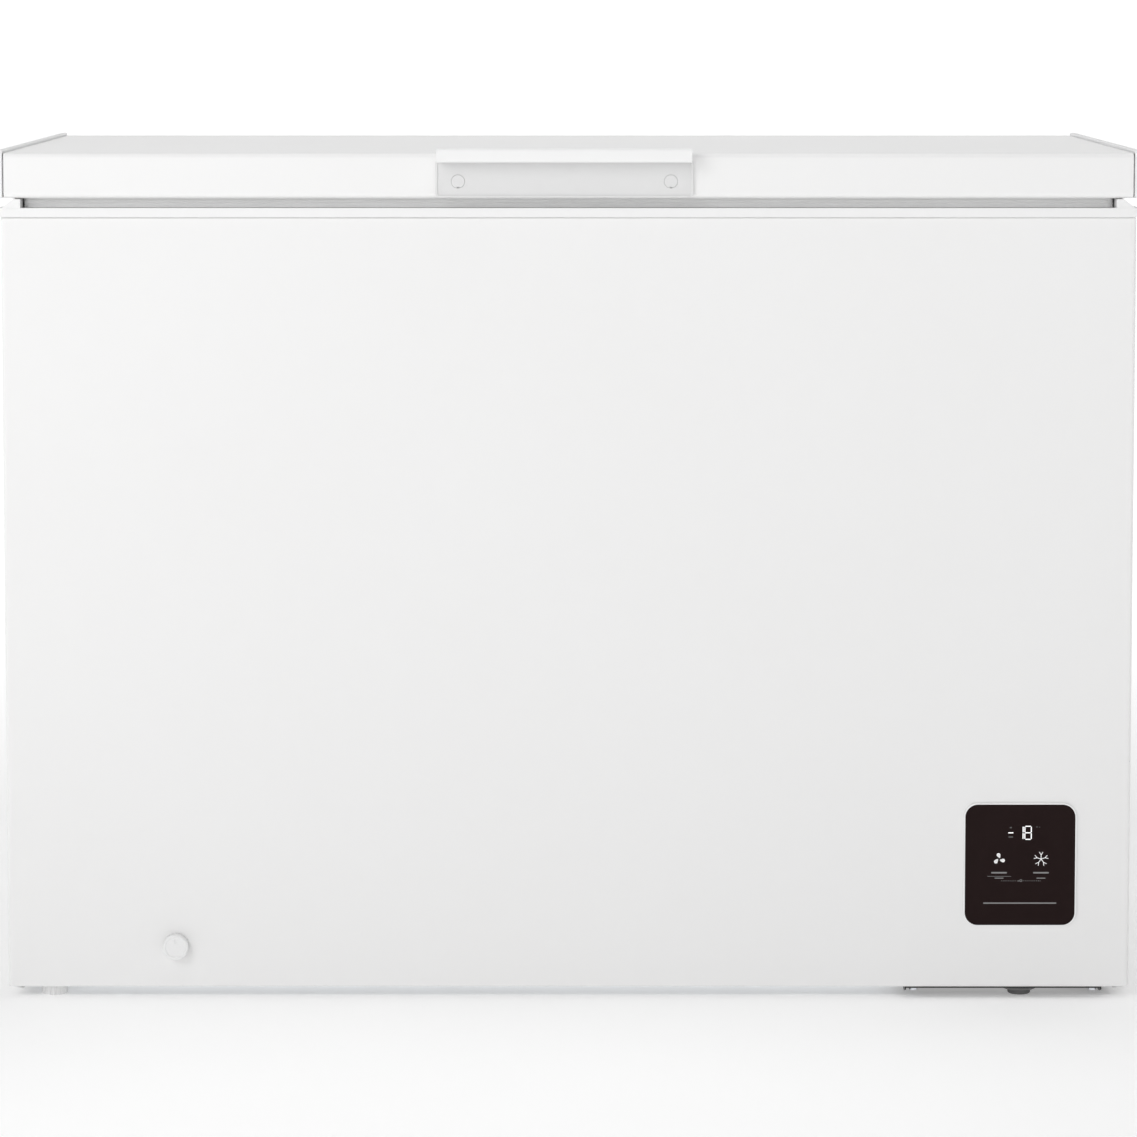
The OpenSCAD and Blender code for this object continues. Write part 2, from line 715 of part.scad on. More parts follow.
module base_plate_screws() {
    color("silver") for (p = plate_screw_places()) {
        rod_z(p[0], p[1], screw_head_r, cab_z - plate_t - screw_head_h, cab_z - plate_t);
        rod_z(p[0], p[1], screw_r, cab_z - plate_t, cab_z + sheet_t);
    }
}

cover_t = 1.5;
cover_slot_h = 4;
cover_slot_w = 84;
cover_slot_pitch = 14;
cord_x = bay_open_x0 + 22;
cord_z = bay_open_z0 + 20;
cord_r = 9;

module bay_cover() {
    mid = (bay_open_x0 + bay_open_x1) / 2;
    color("gainsboro") difference() {
        along_y(rear_y, rear_y + cover_t) round_rect(bay_open_x0 - cover_edge, bay_open_z0 - cover_edge + 4,
            bay_open_x1 + cover_edge, bay_open_z1 + cover_edge, 5);
        for (z = [bay_open_z0 + 46 : cover_slot_pitch : bay_open_z1 - 12], s = [-1, 1])
            translate([mid + s * (cover_slot_w / 2 + 5) - cover_slot_w / 2, rear_y - eps, z])
                cube([cover_slot_w, cover_t + 2 * eps, cover_slot_h]);
        rod_y(cord_x, cord_z, cord_r, rear_y - eps, rear_y + cover_t + eps);
        for (p = cover_screw_places()) rod_y(p[0], p[1], screw_r, rear_y - eps, rear_y + cover_t + eps);
    }
}

module bay_cover_screws() {
    color("silver") for (p = cover_screw_places()) screw_y(p[0], p[1], rear_y + cover_t, 6);
}

module cord_inlet() {
    color("black") difference() {
        union() {
            rod_y(cord_x, cord_z, cord_r, rear_y - 6, rear_y + cover_t);
            rod_y(cord_x, cord_z, cord_r + 3, rear_y + cover_t, rear_y + cover_t + 3);
        }
        rod_y(cord_x, cord_z, 4, rear_y - 7, rear_y + cover_t + 4);
    }
}

// ---- control panel ----

module control_bezel() {
    color("lightgray") difference() {
        union() {
            along_y(front_y - bezel_proud, front_y) panel_outline(0);
            along_y(front_y - bezel_ledge, front_y + housing_d) panel_outline(housing_inset);
        }
        along_y(front_y - bezel_proud - eps, front_y - bezel_ledge) panel_outline(bezel_rim);
        along_y(front_y - bezel_proud, front_y + housing_d + eps) panel_outline(housing_inset + housing_t);
    }
}

module control_glass() {
    color([0.16, 0.13, 0.13]) along_y(front_y - bezel_ledge - glass_t, front_y - bezel_ledge)
        panel_outline(bezel_rim + 0.05);
}

module control_board() {
    color("darkgreen") along_y(front_y + board_off, front_y + board_off + board_t)
        panel_outline(housing_inset + housing_t);
}

// ---- drain ----

module drain_tube() {
    color("white") difference() {
        pipe(drain_path, drain_tube_r, drain_bend);
        pipe([drain_path[0] - [0, eps, 0], drain_path[1], drain_path[2] + [0, 0, eps]],
            drain_tube_r - tube_wall, drain_bend);
    }
}

module drain_bush() {
    color("white") translate([drain_x, drain_y, 0]) difference() {
        union() {
            translate([0, 0, in_z]) cylinder(r = bush_r, h = 2);
            translate([0, 0, in_z - 10]) cylinder(r = bush_neck_r, h = 10);
        }
        translate([0, 0, in_z - 11]) cylinder(r = bush_hole_r, h = 14);
    }
}

module drain_plug() {
    color("gray") translate([drain_x, drain_y, in_z + 2]) {
        translate([0, 0, -8]) cylinder(r = bush_hole_r - gap, h = 8);
        cylinder(r = bush_hole_r + 4, h = 3);
        translate([0, 0, 3]) cylinder(r1 = 4, r2 = 5.5, h = 7);
    }
}

module drain_spout() {
    color("white") difference() {
        rod_y(drain_x, drain_z, spout_r, spout_tip, spout_tip + spout_len);
        rod_y(drain_x, drain_z, spout_r - 1.6, spout_tip + 2, spout_tip + spout_len + eps);
    }
}

// The round dial turns on the end of the spout.
module drain_dial() {
    color("white") difference() {
        union() {
            rod_y(drain_x, drain_z, dial_r, front_y - gap - dial_h + 2, front_y - gap);
            rod_y(drain_x, drain_z, dial_r - 2.5, front_y - gap - dial_h, front_y - gap - dial_h + 2);
        }
        rod_y(drain_x, drain_z, spout_r + run_fit, spout_tip, front_y);
        block([drain_x - 1, front_y - gap - dial_h - eps, drain_z - dial_r * 0.7],
            [drain_x + 1, front_y - gap - dial_h + 1, drain_z - dial_r * 0.3]);
    }
}

// ---- feet ----

module fluted_foot(stud_top, top) {
    flutes = 16;
    flute_r = 1.6;
    difference() {
        union() {
            cylinder(r = foot_r, h = top);
            cylinder(r = stud_r, h = stud_top);
        }
        for (i = [0 : flutes - 1]) rotate(i * 360 / flutes) translate([foot_r + 0.6, 0, -eps])
            cylinder(r = flute_r, h = top + 2 * eps, $fn = 24);
    }
}

// A wide collar over a smaller round pad.
module stepped_foot(stud_top, top) {
    pad_r = 11.4;
    collar_r = 21;
    union() {
        rotate_extrude() polygon([[0, 0], [pad_r - 2, 0], [pad_r, 1.5], [pad_r, top * 0.6],
            [pad_r + 3.4, top * 0.6], [collar_r, top - 1], [collar_r, top], [0, top]]);
        cylinder(r = stud_r, h = stud_top);
    }
}

stud_top = cab_z + 16;

module foot_inserts() {
    color("silver") for (y = [foot_fy, foot_by]) difference() {
        rod_z(foot_lx, y, insert_r, cab_z + 2 * sheet_t, cab_z + 2 * sheet_t + insert_h);
        rod_z(foot_lx, y, stud_r + run_fit, cab_z, stud_top + 1);
    }
}

module front_left_foot() {
    color("white") translate([foot_lx, foot_fy, 0]) fluted_foot(stud_top, cab_z - gap);
}

module rear_left_foot() {
    color("white") translate([foot_lx, foot_by, 0]) fluted_foot(stud_top, cab_z - gap);
}

module front_right_foot() {
    color("dimgray") translate([foot_rx, foot_fy, 0]) stepped_foot(cab_z + 6, cab_z - plate_t - gap);
}

module rear_right_foot() {
    color("dimgray") translate([foot_rx, foot_by, 0]) stepped_foot(cab_z + 6, cab_z - plate_t);
}

// ---- hinges ----

module hinge_base() {
    y0 = rear_y;
    y1 = rear_y + channel_d;
    difference() {
        union() {
            block([-tab_half, y0, channel_bottom], [tab_half, y0 + channel_t, channel_top]);
            block([-channel_half - channel_t, y0, channel_bottom],
                [channel_half + channel_t, y1, channel_bottom + channel_t]);
            for (x = [-channel_half - channel_t, channel_half]) along_x(x, x + channel_t) {
                polygon([[y0, channel_bottom], [y1, channel_bottom], [y1, pivot_z], [pivot_y - 10, pivot_z],
                    [pivot_y - 10, channel_top + 4], [y0, channel_top - 8]]);
                translate([pivot_y, pivot_z]) circle(10);
            }
        }
        rod_x(pivot_y, pivot_z, pin_r, -channel_half - 2 * channel_t, channel_half + 2 * channel_t);
        for (x = [-screw_off, screw_off], z = base_screw_z)
            rod_y(x, z, screw_r, y0 - eps, y0 + channel_t + eps);
    }
}

module hinge_bases() {
    color("silver") mirror_hinges() hinge_base();
}

module hinge_pins() {
    half = channel_half + channel_t;
    color("dimgray") mirror_hinges() {
        rod_x(pivot_y, pivot_z, pin_r, -half - 2, half);
        rod_x(pivot_y, pivot_z, pin_r + 2, half, half + 2);
    }
}

// A cover over the channel, open towards the cabinet and at the top.
module hinge_covers() {
    half = channel_half + channel_t + 3.5;
    t = 1.5;
    y0 = rear_y + channel_t;
    color("white") mirror_hinges() difference() {
        slab(channel_bottom - 4, channel_top) round_rect(-half, y0 - 6, half, rear_y + hinge_out, 4);
        slab(channel_bottom - 4 + t, channel_top + eps)
            round_rect(-half + t, y0 - 8, half - t, rear_y + hinge_out - t, 3);
        block([-half - eps, y0 - 10, channel_bottom - 5], [half + eps, y0, channel_top + eps]);
    }
}

module hinge_base_screws() {
    color("silver") for (p = hinge_base_screw_places()) screw_y(p[0], p[1], rear_y + channel_t, screw_len);
}

// The support function of the cam falls evenly with the angle, so the flat-topped plunger rises evenly.
cam_steps = 24;
cam_half = 8;            // half width of the cam
function cam_point(a) = let (h = cam_r - cam_rate * a * PI / 180)
    [h * sin(a) - cam_rate * cos(a), -h * cos(a) - cam_rate * sin(a)];

module hinge_lid_bracket() {
    arm_in = channel_half - 6.5;
    arm_t = 3;
    difference() {
        union() {
            block([-bracket_half, lid_rear, bracket_z0], [bracket_half, lid_rear + bracket_t, bracket_z1]);
            for (x = [-arm_in - arm_t, arm_in]) along_x(x, x + arm_t) {
                polygon([[lid_rear, bracket_z0 + 2], [pivot_y - hub_r * 0.6, pivot_z - hub_r * 0.6],
                    [pivot_y + hub_r * 0.6, pivot_z + hub_r * 0.6],
                    [lid_rear + 3, bracket_z1 - 4], [lid_rear, bracket_z1 - 4]]);
            }
            rod_x(pivot_y, pivot_z, hub_r, -arm_in - arm_t, arm_in + arm_t);
            along_x(-cam_half, cam_half) translate([pivot_y, pivot_z]) polygon(concat(
                [for (i = [0 : cam_steps]) cam_point(i * lid_open / cam_steps)],
                [[hub_r * 0.8, 0], [-hub_r * 0.8, 0]]));
        }
        rod_x(pivot_y, pivot_z, pin_r + run_fit, -channel_half, channel_half);
        for (x = [bracket_screw_in - screw_off, screw_off - bracket_screw_in], z = lid_screw_z)
            rod_y(x, z, screw_r, lid_rear - eps, lid_rear + bracket_t + eps);
    }
}

module hinge_lid_brackets() {
    color("silver") mirror_hinges() hinge_lid_bracket();
}

module hinge_lid_screws() {
    color("silver") for (p = hinge_lid_screw_places()) screw_y(p[0], p[1], lid_rear + bracket_t, screw_len);
}

module hinge_plunger(x) {
    color("ivory") translate([x, 0, 0]) difference() {
        block([-plunger_half, plunger_y0, plunger_top - plunger_h], [plunger_half, plunger_y1, plunger_top]);
        rod_z(0, spring_y, spring_r + spring_wire_r + 2 * gap, plunger_top - plunger_h - eps,
            plunger_top - plunger_h + spring_seat);
    }
}

plunger_half = 15;
plunger_y0 = rear_y + channel_t + 1.5;
plunger_y1 = rear_y + channel_d - 2;
spring_y = (plunger_y0 + plunger_y1) / 2;
spring_z0 = channel_bottom + channel_t;
spring_z1 = plunger_top - plunger_h + spring_seat;
spring_turns = 8;
spring_steps = 14;
spring_sides = 6;

// A round wire wound up a helix, with its ends cut flat inside the seats.
module hinge_spring(x) {
    n = spring_turns * spring_steps;
    rise = spring_z1 - spring_z0 - 2 * spring_wire_r;
    points = [for (i = [0 : n], k = [0 : spring_sides - 1])
        let (a = i * 360 / spring_steps, b = k * 360 / spring_sides, q = spring_r + spring_wire_r * cos(b))
        [q * cos(a), q * sin(a), spring_wire_r + rise * i / n + spring_wire_r * sin(b)]];
    faces = concat([for (i = [0 : n - 1], k = [0 : spring_sides - 1])
        let (a = i * spring_sides + k, b = i * spring_sides + (k + 1) % spring_sides)
        [a, a + spring_sides, b + spring_sides, b]],
        [[for (k = [0 : spring_sides - 1]) k], [for (k = [spring_sides - 1 : -1 : 0]) n * spring_sides + k]]);
    color("silver") translate([x, spring_y, spring_z0]) polyhedron(points, faces);
}

// ---- lid ----

// The lid's section in Y and Z, shrunk by g all round.
module lid_section(g) {
    round_rect(lid_front + g, lid_z + g, lid_rear - g, lid_top - g, max(5 - g, 0.5));
}

skin_x = half_w + rim_out + 1 - cap_w;
hem_w = 10;
cap_plug = 10;           // how far an end cap reaches into the skin

module lid_skin() {
    color("white") difference() {
        along_x(-skin_x, skin_x) lid_section(0);
        along_x(-skin_x - eps, skin_x + eps) lid_section(sheet_t);
        block([-skin_x - eps, lid_front + hem_w, lid_z - eps], [skin_x + eps, lid_rear - hem_w, lid_z + 3]);
        for (p = hinge_lid_screw_places()) rod_y(p[0], p[1], screw_r + 0.1, lid_rear - 3, lid_rear + eps);
        for (p = handle_screw_places()) rod_y(p[0], p[1], screw_r + 0.1, lid_front - eps, lid_front + 3);
    }
}

// An end cap drawn for the right side.
module lid_end_cap() {
    g = sheet_t + 0.1;
    color("white") {
        difference() {
            union() {
                along_x(skin_x, skin_x + cap_w)
                    round_rect(lid_front - 0.5, lid_z, lid_rear + 0.5, lid_top + cap_rise, 4);
                along_x(skin_x - cap_plug, skin_x) lid_section(g);
            }
            along_x(skin_x - cap_plug - eps, skin_x + cap_w - 2.5) lid_section(g + 2);
            block([skin_x - cap_plug - eps, lid_front + hem_w + 1, lid_z - eps],
                [skin_x - cap_plug + 2, lid_rear - hem_w - 1, lid_z + 4]);
        }
    }
}

module lid_end_cap_left() {
    mirror([1, 0, 0]) lid_end_cap();
}

module lid_end_cap_right() {
    lid_end_cap();
}

pan_x = skin_x - cap_plug - 0.2;
pan_z = lid_z + sheet_t;
pan_t = 1.5;
plug_in = 14;            // gap round the panel's raised field inside the mouth

module pan_field(g) {
    round_rect(-in_hw + plug_in + g, in_y0 + plug_in + g, in_hw - plug_in - g, in_y1 - plug_in - g,
        liner_r - g);
}

module lid_inner_panel() {
    color("white") difference() {
        union() {
            intersection() {
                along_x(-pan_x, pan_x) lid_section(sheet_t + 0.1);
                block([-pan_x, lid_front, pan_z], [pan_x, lid_rear, pan_z + pan_t]);
            }
            slab(lid_z - plug_drop, pan_z + eps) pan_field(0);
        }
        slab(lid_z - plug_drop + pan_t, pan_z + pan_t + eps) pan_field(pan_t);
    }
}

module lid_foam() {
    color("khaki") difference() {
        union() {
            intersection() {
                along_x(-pan_x, pan_x) lid_section(sheet_t);
                block([-pan_x, lid_front, pan_z + pan_t], [pan_x, lid_rear, lid_top]);
            }
            slab(lid_z - plug_drop + pan_t, pan_z + pan_t + eps) pan_field(pan_t);
        }
        for (p = hinge_lid_screw_places())
            rod_y(p[0], p[1], screw_r + 0.1, lid_rear - screw_len - 2, lid_rear);
        for (p = handle_screw_places()) rod_y(p[0], p[1], screw_r + 0.1, lid_front,
            lid_front + handle_screw_len + 2);
    }
}

// The gasket: a base strip, a narrow bellows and a wider magnet strip.
module lid_gasket() {
    x = half_w - gasket_inset - 3;
    y0 = front_y + gasket_inset - 2;
    y1 = rear_y - gasket_inset / 2;
    neck = 3;
    color("lightgray") union() {
        slab(pan_z - 3, pan_z) ring(-x, y0, x, y1, gasket_w, 6);
        slab(rim_top + 4, pan_z - 3) ring(-x + neck, y0 + neck, x - neck, y1 - neck, gasket_w - 2 * neck, 5);
        slab(rim_top + 0.2, rim_top + 4) ring(-x + 0.5, y0 + 0.5, x - 0.5, y1 - 0.5, gasket_w - 1, 6);
    }
}

// ---- handle ----

module handle_outline(g) {
    round_rect(handle_x - handle_w / 2 + g, handle_z0 + g, handle_x + handle_w / 2 - g, grip_z0 + 2, 3);
}

module handle_plate() {
    y0 = lid_front - plate_proj;
    color("gainsboro") difference() {
        along_y(y0, lid_front) handle_outline(0);
        along_y(y0 - eps, y0 + 1) round_rect(handle_x - handle_w / 2 + 2, handle_z0 + 2,
            handle_x + handle_w / 2 - 2, grip_z0 + 4, 2);
        for (p = handle_screw_places()) {
            rod_y(p[0], p[1], plug_r + 0.1, y0 - eps, lid_front - plate_back);
            rod_y(p[0], p[1], screw_r + 0.1, y0 - eps, lid_front + eps);
        }
    }
}

// A hooked bar: a back strip, a top and a front lip, closed at both ends.
module handle_grip() {
    x0 = handle_x - handle_w / 2 + 1.5;
    x1 = handle_x + handle_w / 2 - 1.5;
    y0 = lid_front - grip_out;
    color("whitesmoke") difference() {
        along_x(x0, x1) {
            round_rect(y0, grip_z0, lid_front, grip_top, grip_t - 0.5);
            translate([lid_front - grip_t, grip_z0 + 2]) square([grip_t, grip_top - grip_z0 - 2 - grip_t]);
        }
        along_x(x0 + grip_t, x1 - grip_t) translate([y0 + grip_t, grip_z0 - eps])
            square([grip_out - 2 * grip_t, grip_lip_h - grip_t + eps]);
        block([x0 - eps, lid_front - grip_t - 2, grip_z0 - eps], [x1 + eps, lid_front + eps, grip_z0 + 2]);
    }
}

module handle_screws() {
    color("silver") for (p = handle_screw_places()) {
        rod_y(p[0], p[1], handle_head_r, lid_front - plate_back - handle_head_h, lid_front - plate_back);
        rod_y(p[0], p[1], screw_r, lid_front - plate_back, lid_front + handle_screw_len);
    }
}

module handle_plugs() {
    y0 = lid_front - plate_proj + 0.6;
    color("lightgray") for (p = handle_screw_places()) rod_y(p[0], p[1], plug_r, y0,
        lid_front - plate_back - handle_head_h);
}

// ---- basket ----

module basket_rim() {
    r = liner_r;
    z = basket_rim_z;
    loop = [[basket_x0, basket_y0, z], [basket_x1, basket_y0, z], [basket_x1, basket_y1, z],
        [basket_x0, basket_y1, z]];
    mid = (basket_x0 + basket_x1) / 2;
    hook_half = basket_w * 0.36;
    color("white") {
        pipe([[mid, basket_y0, z], loop[1], loop[2], loop[3], loop[0], [mid + eps, basket_y0, z]],
            rim_wire_r, r);
        for (side = [0, 1]) {
            y = side == 0 ? basket_y0 : basket_y1;
            out = side == 0 ? mouth_y0 - rebate_w + 5 : mouth_y1 + rebate_w - 5;
            pipe([[mid - hook_half, y, z], [mid - hook_half, y, hang_z], [mid - hook_half, out, hang_z],
                [mid + hook_half, out, hang_z], [mid + hook_half, y, hang_z], [mid + hook_half, y, z]],
                hang_r, hook_bend);
        }
    }
}

wire_lap = 1.4 * mesh_wire_r;
side_wires = 15;
end_wires = 8;
wall_rows = 4;
function spread(a, b, n, i) = a + (b - a) * i / (n - 1);

module basket_end_walls() {
    color("white") for (side = [0, 1]) {
        y = side == 0 ? basket_y0 : basket_y1;
        lap = side == 0 ? wire_lap : -wire_lap;
        for (i = [0 : end_wires - 1])
            rod_z(spread(basket_x0 + wire_in, basket_x1 - wire_in, end_wires, i), y, mesh_wire_r,
                basket_bottom, basket_rim_z);
        for (i = [0 : wall_rows - 1])
            rod_x(y + lap, spread(basket_bottom + 8, basket_rim_z - 40, wall_rows, i), mesh_wire_r,
                basket_x0 + 6, basket_x1 - 6);
    }
}

module basket_side_walls() {
    color("white") for (side = [0, 1]) {
        x = side == 0 ? basket_x0 : basket_x1;
        lap = side == 0 ? wire_lap : -wire_lap;
        for (i = [0 : side_wires - 1])
            rod_z(x, spread(basket_y0 + wire_in, basket_y1 - wire_in, side_wires, i), mesh_wire_r,
                basket_bottom, basket_rim_z);
        for (i = [0 : wall_rows - 1])
            rod_y(x + lap, spread(basket_bottom + 8, basket_rim_z - 40, wall_rows, i), mesh_wire_r,
                basket_y0 + 6, basket_y1 - 6);
    }
}

module basket_floor() {
    color("white") {
        for (i = [0 : side_wires - 1])
            rod_x(spread(basket_y0 + wire_in, basket_y1 - wire_in, side_wires, i), basket_bottom,
                mesh_wire_r, basket_x0 + 2, basket_x1 - 2);
        for (i = [0 : end_wires - 1])
            rod_y(spread(basket_x0 + wire_in, basket_x1 - wire_in, end_wires, i),
                basket_bottom - wire_lap, mesh_wire_r, basket_y0 + 2, basket_y1 - 2);
    }
}

cabinet_wrap();
rear_panel();
bottom_panel();
inner_liner();
foam_insulation();
top_frame();
evaporator_coil();
condenser_coil();
compressor();
compressor_grommets();
compressor_bolts();
relay_cover();
suction_pipe();
discharge_pipe();
filter_drier();
capillary_tube();
base_plate();
base_plate_screws();
bay_cover();
bay_cover_screws();
cord_inlet();
control_bezel();
control_glass();
control_board();
temperature_sensor();
drain_tube();
drain_bush();
foot_inserts();
rear_left_foot();
rear_right_foot();
hinge_bases();
hinge_pins();
hinge_covers();
hinge_base_screws();
hinge_spring(-hinge_x);  // hinge_spring_left
hinge_spring(hinge_x);  // hinge_spring_right
lid_skin();
lid_end_cap_left();
lid_end_cap_right();
lid_foam();
lid_inner_panel();
lid_gasket();
handle_plate();
handle_grip();
handle_screws();
handle_plugs();
hinge_lid_brackets();
hinge_lid_screws();
hinge_plunger(-hinge_x);  // hinge_plunger_left
hinge_plunger(hinge_x);  // hinge_plunger_right
front_left_foot();
front_right_foot();
drain_spout();
drain_dial();
drain_plug();
basket_rim();
basket_floor();
basket_end_walls();
basket_side_walls();
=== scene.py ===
import json
import math
import bmesh
import bpy
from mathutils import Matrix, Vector


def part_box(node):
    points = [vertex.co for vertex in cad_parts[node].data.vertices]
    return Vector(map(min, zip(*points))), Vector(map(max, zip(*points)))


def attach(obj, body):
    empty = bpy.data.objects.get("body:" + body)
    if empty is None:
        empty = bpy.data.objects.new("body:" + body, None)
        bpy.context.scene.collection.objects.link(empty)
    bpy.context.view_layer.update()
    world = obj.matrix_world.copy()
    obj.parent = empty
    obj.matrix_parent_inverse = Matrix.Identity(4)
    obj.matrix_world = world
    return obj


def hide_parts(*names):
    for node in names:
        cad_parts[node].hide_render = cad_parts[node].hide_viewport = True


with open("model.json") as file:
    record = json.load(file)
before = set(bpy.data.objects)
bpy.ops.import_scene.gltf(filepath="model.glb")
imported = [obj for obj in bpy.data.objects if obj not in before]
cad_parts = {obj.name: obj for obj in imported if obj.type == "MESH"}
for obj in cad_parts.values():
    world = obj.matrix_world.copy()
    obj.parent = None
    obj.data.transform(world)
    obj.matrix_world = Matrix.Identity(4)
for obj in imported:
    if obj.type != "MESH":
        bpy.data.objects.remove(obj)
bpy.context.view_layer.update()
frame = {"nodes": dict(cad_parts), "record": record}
mm = 0.001
print("frame loaded,", len(frame["nodes"]), "nodes")


# small helpers for modelling

def deselect():
    if bpy.context.mode != "OBJECT":
        bpy.ops.object.mode_set(mode="OBJECT")
    bpy.ops.object.select_all(action="DESELECT")


def only(piece):
    deselect()
    piece.select_set(True)
    bpy.context.view_layer.objects.active = piece


def settle(name):
    # names the new primitive and moves its place into its mesh
    piece = bpy.context.object
    piece.name = name
    piece.data.name = name
    only(piece)
    bpy.ops.object.transform_apply(location=True, rotation=True, scale=True)
    return piece


def block(name, low, high):
    deselect()
    low, high = Vector(low), Vector(high)
    bpy.ops.mesh.primitive_cube_add(size=1, location=(low + high) / 2, scale=high - low)
    return settle(name)


def rod(name, start, end, radius, sides=48):
    deselect()
    start, end = Vector(start), Vector(end)
    way = end - start
    bpy.ops.mesh.primitive_cylinder_add(vertices=sides, radius=radius, depth=way.length,
                                        location=(start + end) / 2,
                                        rotation=way.to_track_quat("Z", "Y").to_euler())
    return settle(name)


def edit(piece, kind="FACE"):
    only(piece)
    bpy.ops.object.mode_set(mode="EDIT")
    bpy.ops.mesh.select_mode(type=kind)
    bpy.ops.mesh.select_all(action="DESELECT")


def pickFaces(piece, test):
    # test gets a face's middle and normal
    bpy.ops.mesh.select_all(action="DESELECT")
    bpy.ops.mesh.select_mode(type="FACE")
    mesh = bmesh.from_edit_mesh(piece.data)
    for face in mesh.faces:
        if test(face.calc_center_median(), face.normal):
            face.select_set(True)
    bmesh.update_edit_mesh(piece.data)


def pickEdges(piece, test):
    # test gets an edge's middle and direction
    bpy.ops.mesh.select_all(action="DESELECT")
    bpy.ops.mesh.select_mode(type="EDGE")
    mesh = bmesh.from_edit_mesh(piece.data)
    for edge in mesh.edges:
        first, second = edge.verts[0].co, edge.verts[1].co
        if test((first + second) / 2, (second - first).normalized()):
            edge.select_set(True)
    bmesh.update_edit_mesh(piece.data)


def pickPoints(piece, test):
    bpy.ops.mesh.select_all(action="DESELECT")
    bpy.ops.mesh.select_mode(type="VERT")
    mesh = bmesh.from_edit_mesh(piece.data)
    for point in mesh.verts:
        if test(point.co):
            point.select_set(True)
    bmesh.update_edit_mesh(piece.data)


def bevel(width, segments=4):
    bpy.ops.mesh.bevel(offset=width, segments=segments, affect="EDGES", clamp_overlap=True)


def alter(piece, kind, **settings):
    # adds a modifier and applies it
    only(piece)
    modifier = piece.modifiers.new(kind, kind)
    for name, value in settings.items():
        setattr(modifier, name, value)
    bpy.ops.object.modifier_apply(modifier=modifier.name)


def cut(piece, *tools):
    for tool in tools:
        alter(piece, "BOOLEAN", operation="DIFFERENCE", object=tool, solver="EXACT")
        bpy.data.objects.remove(tool)


def weld(piece, *others):
    for other in others:
        alter(piece, "BOOLEAN", operation="UNION", object=other, solver="EXACT")
        bpy.data.objects.remove(other)


def soften(piece, width, segments=3, angle=35):
    alter(piece, "BEVEL", width=width, segments=segments, limit_method="ANGLE",
          angle_limit=math.radians(angle))


def copyPiece(piece, name, move=(0, 0, 0)):
    twin = piece.copy()
    twin.data = piece.data.copy()
    twin.name = name
    bpy.context.collection.objects.link(twin)
    only(twin)
    twin.location = move
    bpy.ops.object.transform_apply(location=True, rotation=False, scale=False)
    return twin


def joinPieces(name, pieces):
    deselect()
    for piece in pieces:
        piece.select_set(True)
    bpy.context.view_layer.objects.active = pieces[0]
    bpy.ops.object.join()
    pieces[0].name = name
    return pieces[0]


def mount(piece, body, slotName, finish, *nodes):
    # smooth shading, the finish, and the body that the piece rides on
    only(piece)
    bpy.ops.object.shade_smooth_by_angle(angle=math.radians(40))
    alter(piece, "WEIGHTED_NORMAL", mode="FACE_AREA", keep_sharp=True)
    piece.data.materials.clear()
    piece.data.materials.append(finish)
    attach(piece, body)
    if nodes:
        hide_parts(*nodes)


# finishes

class Value:
    # wraps a node's output, so that a sum on it adds a Math node
    def __init__(self, finish, socket):
        self.finish = finish
        self.socket = socket

    def maths(self, operation, first, second):
        return self.finish.add("ShaderNodeMath", {"operation": operation}, {0: first, 1: second})

    def __add__(self, other):
        return self.maths("ADD", self, other)

    def __sub__(self, other):
        return self.maths("SUBTRACT", self, other)

    def __mul__(self, other):
        return self.maths("MULTIPLY", self, other)

    def __rsub__(self, other):
        return self.maths("SUBTRACT", other, self)

    __radd__ = __add__
    __rmul__ = __mul__


class Finish:
    def __init__(self, name):
        self.material = bpy.data.materials.new(name)
        self.material.use_nodes = True
        self.tree = self.material.node_tree
        self.tree.nodes.clear()

    def add(self, kind, settings, values, out=0):
        # a node of any type: its settings first, then its sockets
        node = self.tree.nodes.new(kind)
        for name, value in settings.items():
            if name == "stops":
                self.setStops(node.color_ramp, value)
            else:
                setattr(node, name, value)
        for place, value in values.items():
            if isinstance(value, Value):
                self.tree.links.new(value.socket, node.inputs[place])
            else:
                node.inputs[place].default_value = value
        return Value(self, node.outputs[out] if node.outputs else None)

    def setStops(self, ramp, stops):
        ramp.elements[0].position = stops[0][0]
        ramp.elements[1].position = stops[-1][0]
        ramp.elements[0].color = stops[0][1]
        ramp.elements[1].color = stops[-1][1]
        for position, colour in stops[1:-1]:
            ramp.elements.new(position).color = colour

    def spot(self, stretch=(1, 1, 1)):
        coords = self.add("ShaderNodeTexCoord", {}, {}, "Object")
        return self.add("ShaderNodeMapping", {}, {"Vector": coords, "Scale": stretch})

    def noise(self, size, detail=2.0, stretch=(1, 1, 1)):
        # size is the width of one blotch in metres
        return self.add("ShaderNodeTexNoise", {},
                        {"Vector": self.spot(stretch), "Scale": 1 / size, "Detail": detail})

    def cells(self, size, out="Distance", feature="F1"):
        return self.add("ShaderNodeTexVoronoi", {"feature": feature},
                        {"Vector": self.spot(), "Scale": 1 / size}, out)

    def ramp(self, value, stops):
        return self.add("ShaderNodeValToRGB", {"stops": stops}, {"Fac": value})

    def mix(self, amount, low, high):
        return self.add("ShaderNodeMix", {"data_type": "RGBA"}, {0: amount, 6: low, 7: high}, 2)

    def done(self, values, height=None, depth=0.0):
        # height runs from 0 to 1 and depth is what 1 stands for, in metres
        if height is not None:
            values["Normal"] = self.add("ShaderNodeBump", {},
                                        {"Strength": 1.0, "Distance": depth, "Height": height})
        shader = self.add("ShaderNodeBsdfPrincipled", {}, values)
        self.add("ShaderNodeOutputMaterial", {}, {"Surface": shader})
        return self.material


def shade(level, warm=0.0):
    # a grey with a little warmth
    return (level * (1 + warm), level, level * (1 - warm), 1)


